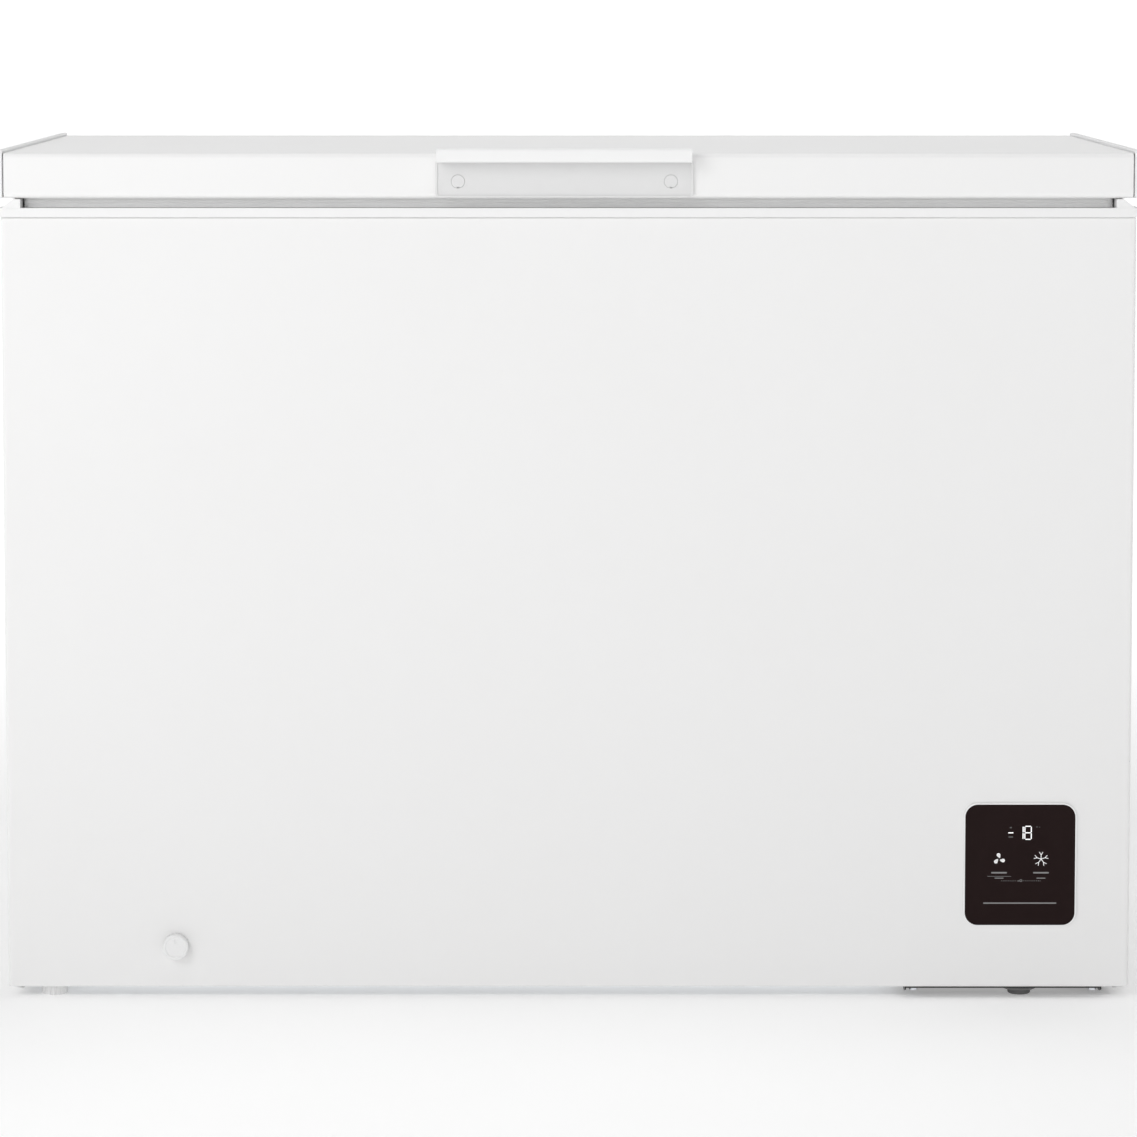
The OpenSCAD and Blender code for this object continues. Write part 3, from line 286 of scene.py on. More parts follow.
def makePaint(name, level, peel=0.9 * mm):
    # stoved powder paint on sheet steel, with a fine orange peel
    finish = Finish(name)
    drift = finish.noise(0.25, 3.0)
    peelHeight = finish.noise(peel, 1.0) + finish.noise(peel * 4, 2.0) * 0.6
    colour = finish.mix(drift, shade(level * 0.985, 0.004), shade(level, 0.001))
    rough = finish.noise(0.05, 4.0) * 0.08 + 0.3
    return finish.done({"Base Color": colour, "Roughness": rough, "Coat Weight": 0.15,
                        "Coat Roughness": 0.22}, peelHeight, 0.012 * mm)


def makePlastic(name, level, rough, grain, depth, warm=0.0):
    # injection-moulded plastic with a fine spark-eroded grain and faint flow marks
    finish = Finish(name)
    flow = finish.noise(0.03, 3.0, (0.2, 1, 1))
    colour = finish.mix(flow, shade(level * 0.97, warm), shade(level, warm))
    gloss = finish.noise(grain * 8, 3.0) * 0.1 + (rough - 0.05)
    return finish.done({"Base Color": colour, "Roughness": gloss}, finish.noise(grain, 2.0), depth)


def makeMetal(name, colour, worn, rough, grain, depth):
    # bare or plated metal; worn is the colour of its dull patches
    finish = Finish(name)
    patches = finish.noise(0.012, 4.0)
    mask = finish.ramp(patches, [(0.42, (0, 0, 0, 1)), (0.68, (1, 1, 1, 1))])
    gloss = patches * 0.18 + (rough - 0.09)
    return finish.done({"Base Color": finish.mix(mask, colour, worn), "Roughness": gloss, "Metallic": 1.0},
                       finish.noise(grain, 3.0), depth)


def makeGalvanised(name):
    # hot-dipped sheet: flat crystals of zinc, each with its own shade and gloss
    finish = Finish(name)
    crystal = finish.add("ShaderNodeSeparateColor", {}, {"Color": finish.cells(9 * mm, "Color")}, 0)
    streak = finish.noise(0.02, 4.0, (1, 1, 0.15))
    colour = finish.mix(crystal * 0.7 + streak * 0.3, (0.6, 0.62, 0.64, 1), (0.74, 0.76, 0.78, 1))
    return finish.done({"Base Color": colour, "Roughness": crystal * 0.16 + 0.34, "Metallic": 1.0},
                       finish.cells(9 * mm) * 0.4 + finish.noise(0.8 * mm) * 0.3, 0.03 * mm)


def makeLiner(name):
    # coated aluminium sheet with a stucco embossing
    finish = Finish(name)
    pebble = finish.add("ShaderNodeTexVoronoi", {"feature": "SMOOTH_F1"},
                        {"Vector": finish.spot(), "Scale": 1 / (5 * mm), "Smoothness": 0.8}, "Distance")
    frost = finish.noise(0.12, 4.0)
    colour = finish.mix(frost, shade(0.74, -0.012), shade(0.82, -0.004))
    return finish.done({"Base Color": colour, "Roughness": frost * 0.14 + 0.24, "Metallic": 0.15},
                       1 - pebble, 0.35 * mm)


def makeFoam(name):
    finish = Finish(name)
    bubble = finish.cells(1.6 * mm)
    colour = finish.mix(finish.noise(0.02, 4.0), (0.82, 0.66, 0.34, 1), (0.9, 0.78, 0.5, 1))
    return finish.done({"Base Color": colour, "Roughness": 0.85, "Specular IOR Level": 0.2},
                       bubble * 0.8 + finish.noise(8 * mm, 4.0) * 0.5, 0.5 * mm)


def makeGlass(name):
    # back-printed dark glass with the faint smear of wiping
    finish = Finish(name)
    smear = finish.noise(0.02, 4.0, (1, 1, 0.3))
    colour = finish.mix(smear, (0.0148, 0.0078, 0.0076, 1), (0.0178, 0.01, 0.0098, 1))
    return finish.done({"Base Color": colour, "Roughness": smear * 0.06 + 0.12, "Specular IOR Level": 0.05},
                       finish.noise(6 * mm, 2.0), 0.002 * mm)


def makeLit(name, glow, level):
    # white light or ink seen through the glass, a little uneven
    finish = Finish(name)
    spread = finish.noise(2 * mm, 2.0)
    colour = finish.mix(spread, shade(level * 0.9), shade(level))
    return finish.done({"Base Color": colour, "Emission Color": colour, "Emission Strength": glow,
                        "Roughness": spread * 0.1 + 0.35}, spread, 0.005 * mm)


def makeBoard(name):
    # green circuit board with lighter tracks
    finish = Finish(name)
    track = finish.cells(5 * mm, "Distance", "DISTANCE_TO_EDGE")
    mask = finish.ramp(track, [(0.03, (1, 1, 1, 1)), (0.07, (0, 0, 0, 1))])
    colour = finish.mix(mask, (0.01, 0.09, 0.03, 1), (0.05, 0.2, 0.07, 1))
    return finish.done({"Base Color": colour, "Roughness": finish.noise(4 * mm) * 0.2 + 0.3}, mask, 0.03 * mm)


paint = makePaint("white_powder_paint", 0.86)
finishes = {
    "painted_steel": paint,
    "lid_paint": makePaint("white_lid_paint", 0.87, 1.1 * mm),
    "galvanised_steel": makeGalvanised("galvanised_sheet"),
    "liner_sheet": makeLiner("stucco_liner_sheet"),
    "foam": makeFoam("polyurethane_foam"),
    "frame_plastic": makePlastic("white_frame_plastic", 0.87, 0.38, 0.5 * mm, 0.006 * mm),
    "inner_plastic": makePlastic("formed_inner_plastic", 0.86, 0.36, 0.8 * mm, 0.004 * mm),
    "gasket_vinyl": makePlastic("white_gasket_vinyl", 0.9, 0.5, 0.7 * mm, 0.02 * mm),
    "handle_plastic": makePlastic("white_handle_plastic", 0.88, 0.33, 0.4 * mm, 0.005 * mm),
    # painted shade: the plate and its plugs are a darker grey than the white grip, standing in for the shade
    # the grip casts
    "handle_plate_plastic": makePlastic("handle_plate_plastic_painted_shade", 0.74, 0.42, 0.4 * mm, 0.008 * mm),
    "bezel_plastic": makePlastic("pale_bezel_plastic", 0.93, 0.25, 0.5 * mm, 0.004 * mm),
    "black_glass": makeGlass("dark_panel_glass"),
    "circuit_board": makeBoard("green_circuit_board"),
    "drain_plastic": makePlastic("white_drain_plastic", 0.85, 0.4, 0.5 * mm, 0.008 * mm),
    "copper": makeMetal("copper_tube", (0.86, 0.43, 0.27, 1), (0.42, 0.19, 0.11, 1), 0.3, 1 * mm, 0.01 * mm),
    "evaporator_aluminium": makeMetal("aluminium_tube", (0.8, 0.81, 0.83, 1), (0.6, 0.61, 0.62, 1),
                                      0.36, 0.6 * mm, 0.01 * mm),
    "black_steel": makePlastic("black_enamelled_steel", 0.022, 0.36, 1.2 * mm, 0.03 * mm),
    "black_plastic": makePlastic("black_moulded_plastic", 0.03, 0.5, 0.4 * mm, 0.02 * mm),
    "grommet_rubber": makePlastic("black_grommet_rubber", 0.035, 0.72, 0.6 * mm, 0.03 * mm),
    "zinc_steel": makeMetal("zinc_plated_steel", (0.72, 0.74, 0.78, 1), (0.55, 0.57, 0.58, 1),
                            0.34, 0.5 * mm, 0.01 * mm),
    "spring_steel": makeMetal("spring_steel", (0.5, 0.5, 0.52, 1), (0.3, 0.3, 0.31, 1),
                              0.3, 0.4 * mm, 0.01 * mm),
    "plunger_nylon": makePlastic("natural_nylon", 0.76, 0.4, 0.6 * mm, 0.01 * mm, 0.05),
    "foot_white": makePlastic("white_foot_plastic", 0.82, 0.45, 0.5 * mm, 0.02 * mm),
    "foot_grey": makePlastic("grey_foot_plastic", 0.12, 0.5, 0.5 * mm, 0.02 * mm),
    "basket_wire": makePlastic("white_coated_wire", 0.86, 0.3, 1.5 * mm, 0.02 * mm),
}
litWhite = makeLit("lit_display_white", 0.55, 0.95)
# the printed icons are given a painted glow of their own
paintedGlowIconInk = makeLit("printed_icon_white_painted_glow", 0.25, 0.85)
inkGrey = makeLit("printed_caption_grey", 0.0, 0.24)
inkDim = makeLit("unlit_mark_grey", 0.0, 0.07)
print("finishes made:", len(finishes) + 4)


for entry in frame["record"]["subparts"]:
    for place in frame["nodes"][entry["node"]].material_slots:
        place.material = finishes[entry["material_slot"]]
print("finishes set on the frame's nodes")


# cabinet

wrap = {"corner": 4 * mm, "hem": 2.2 * mm, "sheet": 0.8 * mm, "flange": 14 * mm, "panelLap": 8 * mm,
        "drainHole": 10.3 * mm}


def makeWrap():
    low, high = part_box("cabinet_wrap")
    piece = block("cabinet_wrap_sheet", low, high)
    edit(piece)
    pickEdges(piece, lambda spot, way: abs(way.z) > 0.9 and spot.y < 0)
    bevel(wrap["corner"], 8)
    pickEdges(piece, lambda spot, way: abs(way.z) < 0.1 and spot.y < high.y - 1 * mm)
    bevel(wrap["hem"], 5)
    pickFaces(piece, lambda spot, normal: abs(normal.z) > 0.9)
    bpy.ops.mesh.inset(thickness=wrap["flange"])
    bpy.ops.mesh.delete(type="FACE")
    pickFaces(piece, lambda spot, normal: normal.y > 0.9)
    bpy.ops.mesh.delete(type="FACE")
    bpy.ops.object.mode_set(mode="OBJECT")
    alter(piece, "SOLIDIFY", thickness=wrap["sheet"], offset=-1)
    glassLow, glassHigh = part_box("control_glass")
    dialLow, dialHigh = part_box("drain_dial")
    inset = Vector((wrap["panelLap"], 0, wrap["panelLap"]))
    middle = (dialLow + dialHigh) / 2
    through = Vector((0, 0.06, 0))
    cut(piece, block("panelHole", glassLow + inset - through, glassHigh - inset + through),
        rod("drainHole", (middle.x, low.y - 0.01, middle.z), (middle.x, low.y + 0.01, middle.z),
            wrap["drainHole"]))
    mount(piece, "cabinet", "painted_steel", finishes["painted_steel"], "cabinet_wrap")


topFrame = {"round": 1.4 * mm, "corner": 3 * mm, "mouthCorner": 17 * mm, "lipIn": 14.8 * mm,
            "lipWall": 3 * mm, "ledge": 14 * mm, "ledgeDepth": 6 * mm, "railIn": 22.5 * mm,
            "railSlope": (0.615, 0.789), "shoulder": 8.7 * mm}


def roundedBlock(name, low, high, radius, axis=2, segments=6):
    # a block whose edges along one axis are round
    piece = block(name, low, high)
    edit(piece)
    pickEdges(piece, lambda spot, way: abs(way[axis]) > 0.9)
    bevel(radius, segments)
    bpy.ops.object.mode_set(mode="OBJECT")
    return piece


def makeTopFrame():
    low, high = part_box("top_frame")
    tubLow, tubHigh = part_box("inner_liner")
    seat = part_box("cabinet_wrap")[1].z
    rimTop = high.z - topFrame["shoulder"]
    side = tubHigh.x - topFrame["lipIn"]
    front = tubLow.y + topFrame["lipIn"]
    rear = tubHigh.y - topFrame["lipIn"]
    wall, corner = topFrame["lipWall"], topFrame["corner"]
    slopeX, slopeZ = topFrame["railSlope"]
    piece = roundedBlock("top_frame_ring", (low.x, low.y, seat), (high.x, high.y, rimTop), corner)
    lip = roundedBlock("lip", (-side, front, low.z), (side, rear, seat + 1 * mm),
                       topFrame["mouthCorner"] + wall)
    rails = []
    for sign in (-1, 1):
        inner = sign * (high.x - topFrame["railIn"])
        rail = block("rail", (min(inner, sign * high.x), low.y + 0.5 * mm, seat + 1 * mm),
                     (max(inner, sign * high.x), high.y, high.z))
        edit(rail)
        bpy.ops.mesh.select_all(action="SELECT")
        bpy.ops.mesh.bisect(plane_co=(sign * high.x, 0, rimTop - 3 * mm),
                            plane_no=(sign * slopeX, 0, slopeZ), clear_outer=True, use_fill=True)
        bpy.ops.object.mode_set(mode="OBJECT")
        rails.append(rail)
    weld(piece, lip, *rails)
    mouth = roundedBlock("mouth", (wall - side, front + wall, low.z - 0.01),
                         (side - wall, rear - wall, high.z + 0.01),
                         topFrame["mouthCorner"], segments=10)
    ledge = roundedBlock("ledge", (wall - side, front + wall - topFrame["ledge"],
                                   rimTop - topFrame["ledgeDepth"]),
                         (side - wall, rear - wall + topFrame["ledge"], high.z + 0.01), corner)
    cut(piece, mouth, ledge)
    soften(piece, topFrame["round"], 4)
    mount(piece, "cabinet", "frame_plastic", finishes["frame_plastic"], "top_frame")


liner = {"round": 16 * mm, "sheet": 0.8 * mm, "flange": 14 * mm, "stepFrom": 271 * mm,
         "stepTop": 295.5 * mm, "drain": 8.1 * mm}


def makeTub():
    # one formed sheet: a tub with a step over the compressor bay and a flange round its mouth
    low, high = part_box("inner_liner")
    plugLow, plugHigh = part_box("drain_plug")
    edge = liner["flange"] + liner["sheet"]
    side = high.x - edge
    front, rear = low.y + edge, high.y - edge
    floor = low.z + liner["sheet"]
    tub = block("liner_tub", (-side, front, floor), (side, rear, high.z))
    cut(tub, block("stepCut", (liner["stepFrom"], front - 0.01, floor - 0.01),
                   (side + 0.01, rear + 0.01, liner["stepTop"])))
    edit(tub)
    # the edge of the step stays crisp, because the foam behind it is square
    pickEdges(tub, lambda spot, way: spot.z < high.z - 1 * mm
              and not (abs(spot.x - liner["stepFrom"]) < 1 * mm and abs(spot.z - liner["stepTop"]) < 1 * mm))
    bevel(liner["round"], 8)
    pickFaces(tub, lambda spot, normal: normal.z > 0.9 and spot.z > high.z - 1 * mm)
    bpy.ops.mesh.delete(type="FACE")
    pickEdges(tub, lambda spot, way: spot.z > high.z - 0.1 * mm)
    bpy.ops.mesh.extrude_region_move(TRANSFORM_OT_translate={"value": (0, 0, 0)})
    halfDepth = (rear - front) / 2
    bpy.ops.transform.resize(value=(1 + liner["flange"] / side, 1 + liner["flange"] / halfDepth, 1),
                             center_override=(0, front + halfDepth, high.z))
    bpy.ops.object.mode_set(mode="OBJECT")
    alter(tub, "SOLIDIFY", thickness=liner["sheet"], offset=1)
    middle = (plugLow + plugHigh) / 2
    cut(tub, rod("drainHole", (middle.x, middle.y, low.z - 0.01), (middle.x, middle.y, floor + 0.01),
                 liner["drain"]))
    soften(tub, 0.25 * mm, 2, 50)
    mount(tub, "cabinet", "liner_sheet", finishes["liner_sheet"], "inner_liner")


gasket = {"width": 22 * mm, "corner": 6 * mm, "fold": 0.6 * mm,
          "levels": [1.3, 2.6, 3.9, 5.2, 6.5, 7.8, 9.0]}


def makeGasket():
    low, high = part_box("lid_gasket")
    piece = block("lid_gasket_bellows", low, high)
    edit(piece)
    pickFaces(piece, lambda spot, normal: abs(normal.z) > 0.9)
    bpy.ops.mesh.inset(thickness=gasket["width"], use_individual=True)
    bpy.ops.mesh.bridge_edge_loops()
    pickEdges(piece, lambda spot, way: abs(way.z) > 0.9)
    bevel(gasket["corner"], 5)
    for level in gasket["levels"]:
        bpy.ops.mesh.select_all(action="SELECT")
        bpy.ops.mesh.bisect(plane_co=(0, 0, low.z + level * mm), plane_no=(0, 0, 1))
    folds = gasket["levels"][1::2]
    pickPoints(piece, lambda spot: any(abs(spot.z - low.z - level * mm) < 0.1 * mm for level in folds))
    bpy.ops.transform.shrink_fatten(value=-gasket["fold"])
    bpy.ops.object.mode_set(mode="OBJECT")
    soften(piece, 0.35 * mm, 2, 30)
    mount(piece, "lid", "gasket_vinyl", finishes["gasket_vinyl"], "lid_gasket")


makeWrap()
makeTopFrame()
makeTub()
makeGasket()
print("cabinet shell, top frame, liner and gasket made")


# lid

lid = {"edge": 5 * mm, "sheet": 0.8 * mm, "hem": 10 * mm, "capGap": 1.3 * mm, "capRound": 1.2 * mm,
       "capPlug": 10 * mm, "capWall": 2.2 * mm, "capPlay": 2.4 * mm}


def makeLidSkin():
    low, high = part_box("lid_skin")
    piece = block("lid_skin_sheet", low, high)
    edit(piece)
    pickEdges(piece, lambda spot, way: abs(way.x) > 0.9)
    bevel(lid["edge"], 8)
    for y in (low.y + lid["hem"], high.y - lid["hem"]):
        bpy.ops.mesh.select_all(action="SELECT")
        bpy.ops.mesh.bisect(plane_co=(0, y, 0), plane_no=(0, 1, 0))
    pickFaces(piece, lambda spot, normal: abs(normal.x) > 0.9
              or (normal.z < -0.9 and low.y + lid["hem"] < spot.y < high.y - lid["hem"]))
    bpy.ops.mesh.delete(type="FACE")
    bpy.ops.object.mode_set(mode="OBJECT")
    alter(piece, "SOLIDIFY", thickness=lid["sheet"], offset=-1)
    mount(piece, "lid", "lid_paint", finishes["lid_paint"], "lid_skin")


def makeEndCap(name, node, sign):
    low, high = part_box(node)
    skinLow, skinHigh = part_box("lid_skin")
    face = sign * skinHigh.x
    out = high.x if sign > 0 else low.x
    inner = face + sign * lid["capGap"]
    piece = roundedBlock(name, (min(inner, out), low.y, low.z), (max(inner, out), high.y, high.z), 4 * mm, 0)
    soften(piece, lid["capRound"], 4, 60)
    play = lid["sheet"] + lid["capPlay"]
    tail = face - sign * lid["capPlug"]
    shank = roundedBlock("shank", (min(tail, inner + sign * mm), skinLow.y + play, skinLow.z + play),
                         (max(tail, inner + sign * mm), skinHigh.y - play, skinHigh.z - play), 4 * mm, 0)
    edit(shank)
    pickFaces(shank, lambda spot, normal: normal.x * sign < -0.9)
    bpy.ops.mesh.inset(thickness=lid["capWall"])
    bpy.ops.mesh.extrude_region_move(TRANSFORM_OT_translate={"value": (sign * 0.9 * lid["capPlug"], 0, 0)})
    bpy.ops.object.mode_set(mode="OBJECT")
    weld(piece, shank)
    mount(piece, "lid", "frame_plastic", finishes["frame_plastic"], node)


panel = {"sheet": 1.5 * mm, "dish": 1 * mm, "corner": 18 * mm, "rib": 24 * mm, "edge": 30 * mm,
         "fieldIn": 28.8 * mm, "panCorner": 14 * mm, "round": 0.45 * mm}


def makeInnerPanel():
    # a vacuum-formed sheet: a flat border, a raised field and two shallow pans in it
    low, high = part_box("lid_inner_panel")
    skinLow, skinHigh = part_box("lid_skin")
    tubLow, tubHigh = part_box("inner_liner")
    border = skinLow.z + lid["sheet"]
    piece = block("lid_inner_sheet", (low.x, low.y + 1 * mm, border), (high.x, high.y - 1 * mm, high.z))
    side = tubHigh.x - panel["fieldIn"]
    fieldLow = (-side, tubLow.y + panel["fieldIn"])
    fieldHigh = (side, tubHigh.y - panel["fieldIn"])
    field = roundedBlock("field", (*fieldLow, low.z), (*fieldHigh, border + 1 * mm), panel["corner"],
                         segments=10)
    weld(piece, field)
    sheet = panel["sheet"]
    hollow = roundedBlock("hollow", (fieldLow[0] + sheet, fieldLow[1] + sheet, low.z + sheet),
                          (fieldHigh[0] - sheet, fieldHigh[1] - sheet, high.z + 0.01),
                          panel["corner"] - sheet, segments=10)
    pans = []
    for sign in (-1, 1):
        inner, outer = sign * panel["rib"] / 2, sign * (side - panel["edge"])
        pans.append(roundedBlock("pan", (min(inner, outer), fieldLow[1] + panel["edge"], low.z - 0.01),
                                 (max(inner, outer), fieldHigh[1] - panel["edge"], low.z + panel["dish"]),
                                 panel["panCorner"], segments=8))
    cut(piece, hollow, *pans)
    soften(piece, panel["round"], 3, 50)
    mount(piece, "lid", "inner_plastic", finishes["inner_plastic"], "lid_inner_panel")


makeLidSkin()
makeEndCap("lid_cap_left", "lid_end_cap_left", -1)
makeEndCap("lid_cap_right", "lid_end_cap_right", 1)
makeInnerPanel()
print("lid made")


# handle

handle = {"corner": 3 * mm, "rim": 2 * mm, "dish": 1 * mm, "wall": 3 * mm, "grip": 2.6 * mm,
          "plug": 6.4 * mm, "notch": 1.5 * mm}


def makeHandle():
    low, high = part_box("handle_plate")
    gripLow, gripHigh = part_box("handle_grip")
    plugLow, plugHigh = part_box("handle_plugs")
    plugX = (plugLow.x + handle["plug"], plugHigh.x - handle["plug"])
    plugZ = (plugLow.z + plugHigh.z) / 2
    plate = roundedBlock("handle_back_plate", low, high, handle["corner"], 1)
    dish = roundedBlock("dish", (low.x + handle["rim"], low.y - 0.01, low.z + handle["rim"]),
                        (high.x - handle["rim"], low.y + handle["dish"], high.z + 0.01), 2 * mm, 1)
    wells = [rod("well", (x, low.y - 0.01, plugZ), (x, high.y - 1 * mm, plugZ), handle["plug"] + 0.15 * mm)
             for x in plugX]
    cut(plate, dish, *wells)
    soften(plate, 0.4 * mm, 3)
    mount(plate, "lid", "handle_plate_plastic", finishes["handle_plate_plastic"], "handle_plate")

    grip = roundedBlock("handle_grip_bar", gripLow, gripHigh, handle["grip"], 0, 7)
    wall = handle["wall"]
    hollow = block("hollow", (gripLow.x + wall, gripLow.y + wall, gripLow.z - 0.01),
                   (gripHigh.x - wall, gripHigh.y - wall, gripHigh.z - wall))
    behind = block("behind", (gripLow.x - 0.01, gripHigh.y - wall - 2 * mm, gripLow.z - 0.01),
                   (gripHigh.x + 0.01, gripHigh.y + 0.01, high.z))
    cut(grip, hollow, behind)
    soften(grip, 0.7 * mm, 3, 50)
    mount(grip, "lid", "handle_plastic", finishes["handle_plastic"], "handle_grip")

    plugs = []
    for x in plugX:
        plug = rod("plug", (x, plugLow.y, plugZ), (x, plugHigh.y, plugZ), handle["plug"])
        foot = (x + 0.3 * mm, plugLow.y - 0.01, plugZ - handle["plug"])
        cut(plug, rod("notch", foot, Vector(foot) + Vector((0, 0.02, 0)), handle["notch"], 24))
        soften(plug, 0.5 * mm, 3, 50)
        plugs.append(plug)
    mount(joinPieces("handle_screw_plugs", plugs), "lid", "handle_plate_plastic",
          finishes["handle_plate_plastic"], "handle_plugs")


makeHandle()
print("handle made")


# control panel

control = {"rim": 1.4 * mm, "corner": 14 * mm, "proud": 2.4 * mm, "housingIn": 7 * mm, "housingWall": 2 * mm,
           "ink": 0.12 * mm, "digit": (6.3 * mm, 13 * mm), "digitRight": 4.5 * mm, "stroke": 0.95 * mm,
           "displayUp": 32.1 * mm, "minusLeft": 9.4 * mm, "minusHalf": 2.1 * mm, "iconUp": 5.9 * mm,
           "iconSide": 20.7 * mm, "captionDown": 7.8 * mm, "captionHalf": 7 * mm, "noteDown": 13.2 * mm,
           "noteHalf": 4 * mm, "ruleDown": 11.4 * mm, "rule": (32 * mm, 9 * mm), "dotsDown": 15.9 * mm,
           "titleDown": 38.2 * mm, "titleHalf": 35.5 * mm}


def makeBezel():
    low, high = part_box("control_bezel")
    glassLow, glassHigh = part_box("control_glass")
    rimCorner = control["corner"]
    glassCorner = rimCorner - control["rim"]
    inset, wall = control["housingIn"], control["housingWall"]
    piece = roundedBlock("control_panel_rim", low, (high.x, low.y + control["proud"], high.z),
                         rimCorner, 1, 12)
    opening = roundedBlock("opening", (glassLow.x, low.y - 0.01, glassLow.z), glassHigh, glassCorner, 1, 12)
    cut(piece, opening)
    housing = roundedBlock("housing", (low.x + inset, low.y + 2 * mm, low.z + inset),
                           (high.x - inset, high.y, high.z - inset), inset, 1)
    weld(piece, housing)
    deep = inset + wall
    cut(piece, roundedBlock("hollow", (low.x + deep, low.y + control["proud"] + 1 * mm, low.z + deep),
                            (high.x - deep, high.y + 0.01, high.z - deep), inset - wall, 1))
    soften(piece, 0.45 * mm, 3)
    mount(piece, "cabinet", "bezel_plastic", finishes["bezel_plastic"], "control_bezel")
    glass = roundedBlock("control_panel_glass", glassLow, glassHigh, glassCorner - 0.1 * mm, 1, 12)
    soften(glass, 0.35 * mm, 3)
    mount(glass, "cabinet", "black_glass", finishes["black_glass"], "control_glass")


def stroke(start, end, width):
    # a thin printed stroke with round ends, drawn on the glass between two places in X and Z
    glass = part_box("control_glass")[0].y
    first, last = Vector((start[0], 0, start[1])), Vector((end[0], 0, end[1]))
    way = last - first
    piece = block("stroke", (-width / 2, glass - control["ink"] / 2, -width / 2),
                  (way.length + width / 2, glass + control["ink"] / 2, width / 2))
    edit(piece)
    pickEdges(piece, lambda spot, way: abs(way.y) > 0.9)
    bevel(width * 0.42, 3)
    bpy.ops.object.mode_set(mode="OBJECT")
    piece.rotation_euler = (0, -math.atan2(way.z, way.x), 0)
    piece.location = first
    only(piece)
    bpy.ops.object.transform_apply(location=True, rotation=True, scale=True)
    return piece


def flatBar(x, half, z, width):
    # a stroke that lies flat, from half on one side of x to half on the other
    return stroke((x - half, z), (x + half, z), width)


def disc(place, radius, hole=0.0):
    # a printed spot or ring on the glass
    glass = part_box("control_glass")[0].y
    thick = control["ink"] / 2
    piece = rod("disc", (place[0], glass - thick, place[1]), (place[0], glass + thick, place[1]), radius, 24)
    if hole:
        cut(piece, rod("hole", (place[0], glass - 0.01, place[1]), (place[0], glass + 0.01, place[1]),
                       hole, 24))
    return piece


def makeDigits(x, z):
    # a minus, a one of two bars and an eight of seven, then the small marks that are not lit
    wide, tall = control["digit"]
    bar = control["stroke"]
    left = x + control["digitRight"]
    base = z + control["displayUp"] - tall / 2
    lit = []
    for foot in (base, base + tall / 2):
        for column in (left - 1.9 * bar, left, left + wide):
            lit.append(stroke((column, foot + bar * 0.9), (column, foot + tall / 2 - bar * 0.9), bar))
    for row in (0, 0.5, 1):
        lit.append(stroke((left + bar, base + row * tall), (left + wide - bar, base + row * tall), bar))
    minus, half = x - control["minusLeft"], control["minusHalf"]
    lit.append(stroke((minus - half, base + tall / 2), (minus + half, base + tall / 2), bar * 1.1))
    mount(joinPieces("display_digits", lit), "cabinet", "bezel_plastic", litWhite)
    unlit = [stroke((minus - lean, base + tall / 2 + rise), (minus + lean, base + tall / 2 + rise), 1.5 * mm)
             for lean, rise in ((0.4 * mm, 5.2 * mm), (1.6 * mm, -4.2 * mm))]
    unlit.append(disc((left + wide + 5.4 * mm, base + tall - 0.6 * mm), 0.8 * mm, 0.45 * mm))
    unlit.append(flatBar(left + wide + 8 * mm, 0.6 * mm, base + tall - 0.8 * mm, 0.5 * mm))
    return unlit


def makeFan(x, z):
    # three blades, each a row of growing spots
    blades = []
    for blade in range(3):
        turn = math.radians(82 + 120 * blade)
        for step in range(6):
            reach = (1.6 + step * 0.5) * mm
            lean = turn + step * 0.06
            spot = (x + reach * math.cos(lean), z + reach * math.sin(lean))
            blades.append(disc(spot, (0.6 + 0.25 * step) * mm))
    return blades


def makeSnowflake(x, z):
    # arms that fork near their ends
    arms = []
    for arm in range(5):
        turn = math.radians(90 + 72 * arm)
        way = Vector((math.cos(turn), math.sin(turn)))
        middle = Vector((x, z))
        fork = middle + way * 4 * mm
        arms.append(stroke(middle, fork, 0.7 * mm))
        for side in (-1, 1):
            twig = turn + side * math.radians(30)
            arms.append(stroke(fork, fork + Vector((math.cos(twig), math.sin(twig))) * 3.2 * mm, 0.6 * mm))
        arms.append(stroke(middle + way * 4.4 * mm, middle + way * 5 * mm, 0.5 * mm))
    return arms


def makePanelMarks():
    low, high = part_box("control_glass")
    x, z = (low.x + high.x) / 2, (low.z + high.z) / 2
    dim = makeDigits(x, z)
    mount(joinPieces("unlit_marks", dim), "cabinet", "bezel_plastic", inkDim)
    up, side = z + control["iconUp"], control["iconSide"]
    mount(joinPieces("panel_icons", makeFan(x - side, up) + makeSnowflake(x + side, up)),
          "cabinet", "bezel_plastic", paintedGlowIconInk)
    # plain bars stand where words would be, with a rule, a dotted line and a key
    plain = []
    for sign in (-1, 1):
        icon = x + sign * side
        plain.append(flatBar(icon, control["captionHalf"], z - control["captionDown"], 1.5 * mm))
        plain.append(flatBar(icon, control["noteHalf"], z - control["noteDown"], 0.9 * mm))
    ruleFrom, ruleTo = control["rule"]
    rule = z - control["ruleDown"]
    plain.append(stroke((x - ruleFrom, rule), (x - ruleTo, rule), 0.35 * mm))
    row = z - control["dotsDown"]
    dots = [-18.2 + 1.73 * place for place in range(9)] + [3.6 + 1.83 * place for place in range(10)]
    plain += [disc((x + dot * mm, row), 0.35 * mm) for dot in dots]
    plain.append(disc((x + 0.9 * mm, row + 0.2 * mm), 1.3 * mm, 0.8 * mm))
    plain.append(stroke((x - 2.3 * mm, row), (x - 0.4 * mm, row), 0.55 * mm))
    plain.append(stroke((x - 1.9 * mm, row), (x - 1.9 * mm, row - 0.8 * mm), 0.5 * mm))
    plain.append(flatBar(x, control["titleHalf"], z - control["titleDown"], 1.3 * mm))
    mount(joinPieces("panel_bars", plain), "cabinet", "bezel_plastic", inkGrey)


makeBezel()
makePanelMarks()
print("control panel made")


# drain

drain = {"shoulder": 2 * mm, "face": 2.5 * mm, "dish": 0.8 * mm, "grooves": 24, "groove": 0.9 * mm,
         "plugShank": 6.7 * mm, "plugFlange": 11 * mm, "plugKnob": 4 * mm, "knobTall": 10 * mm}


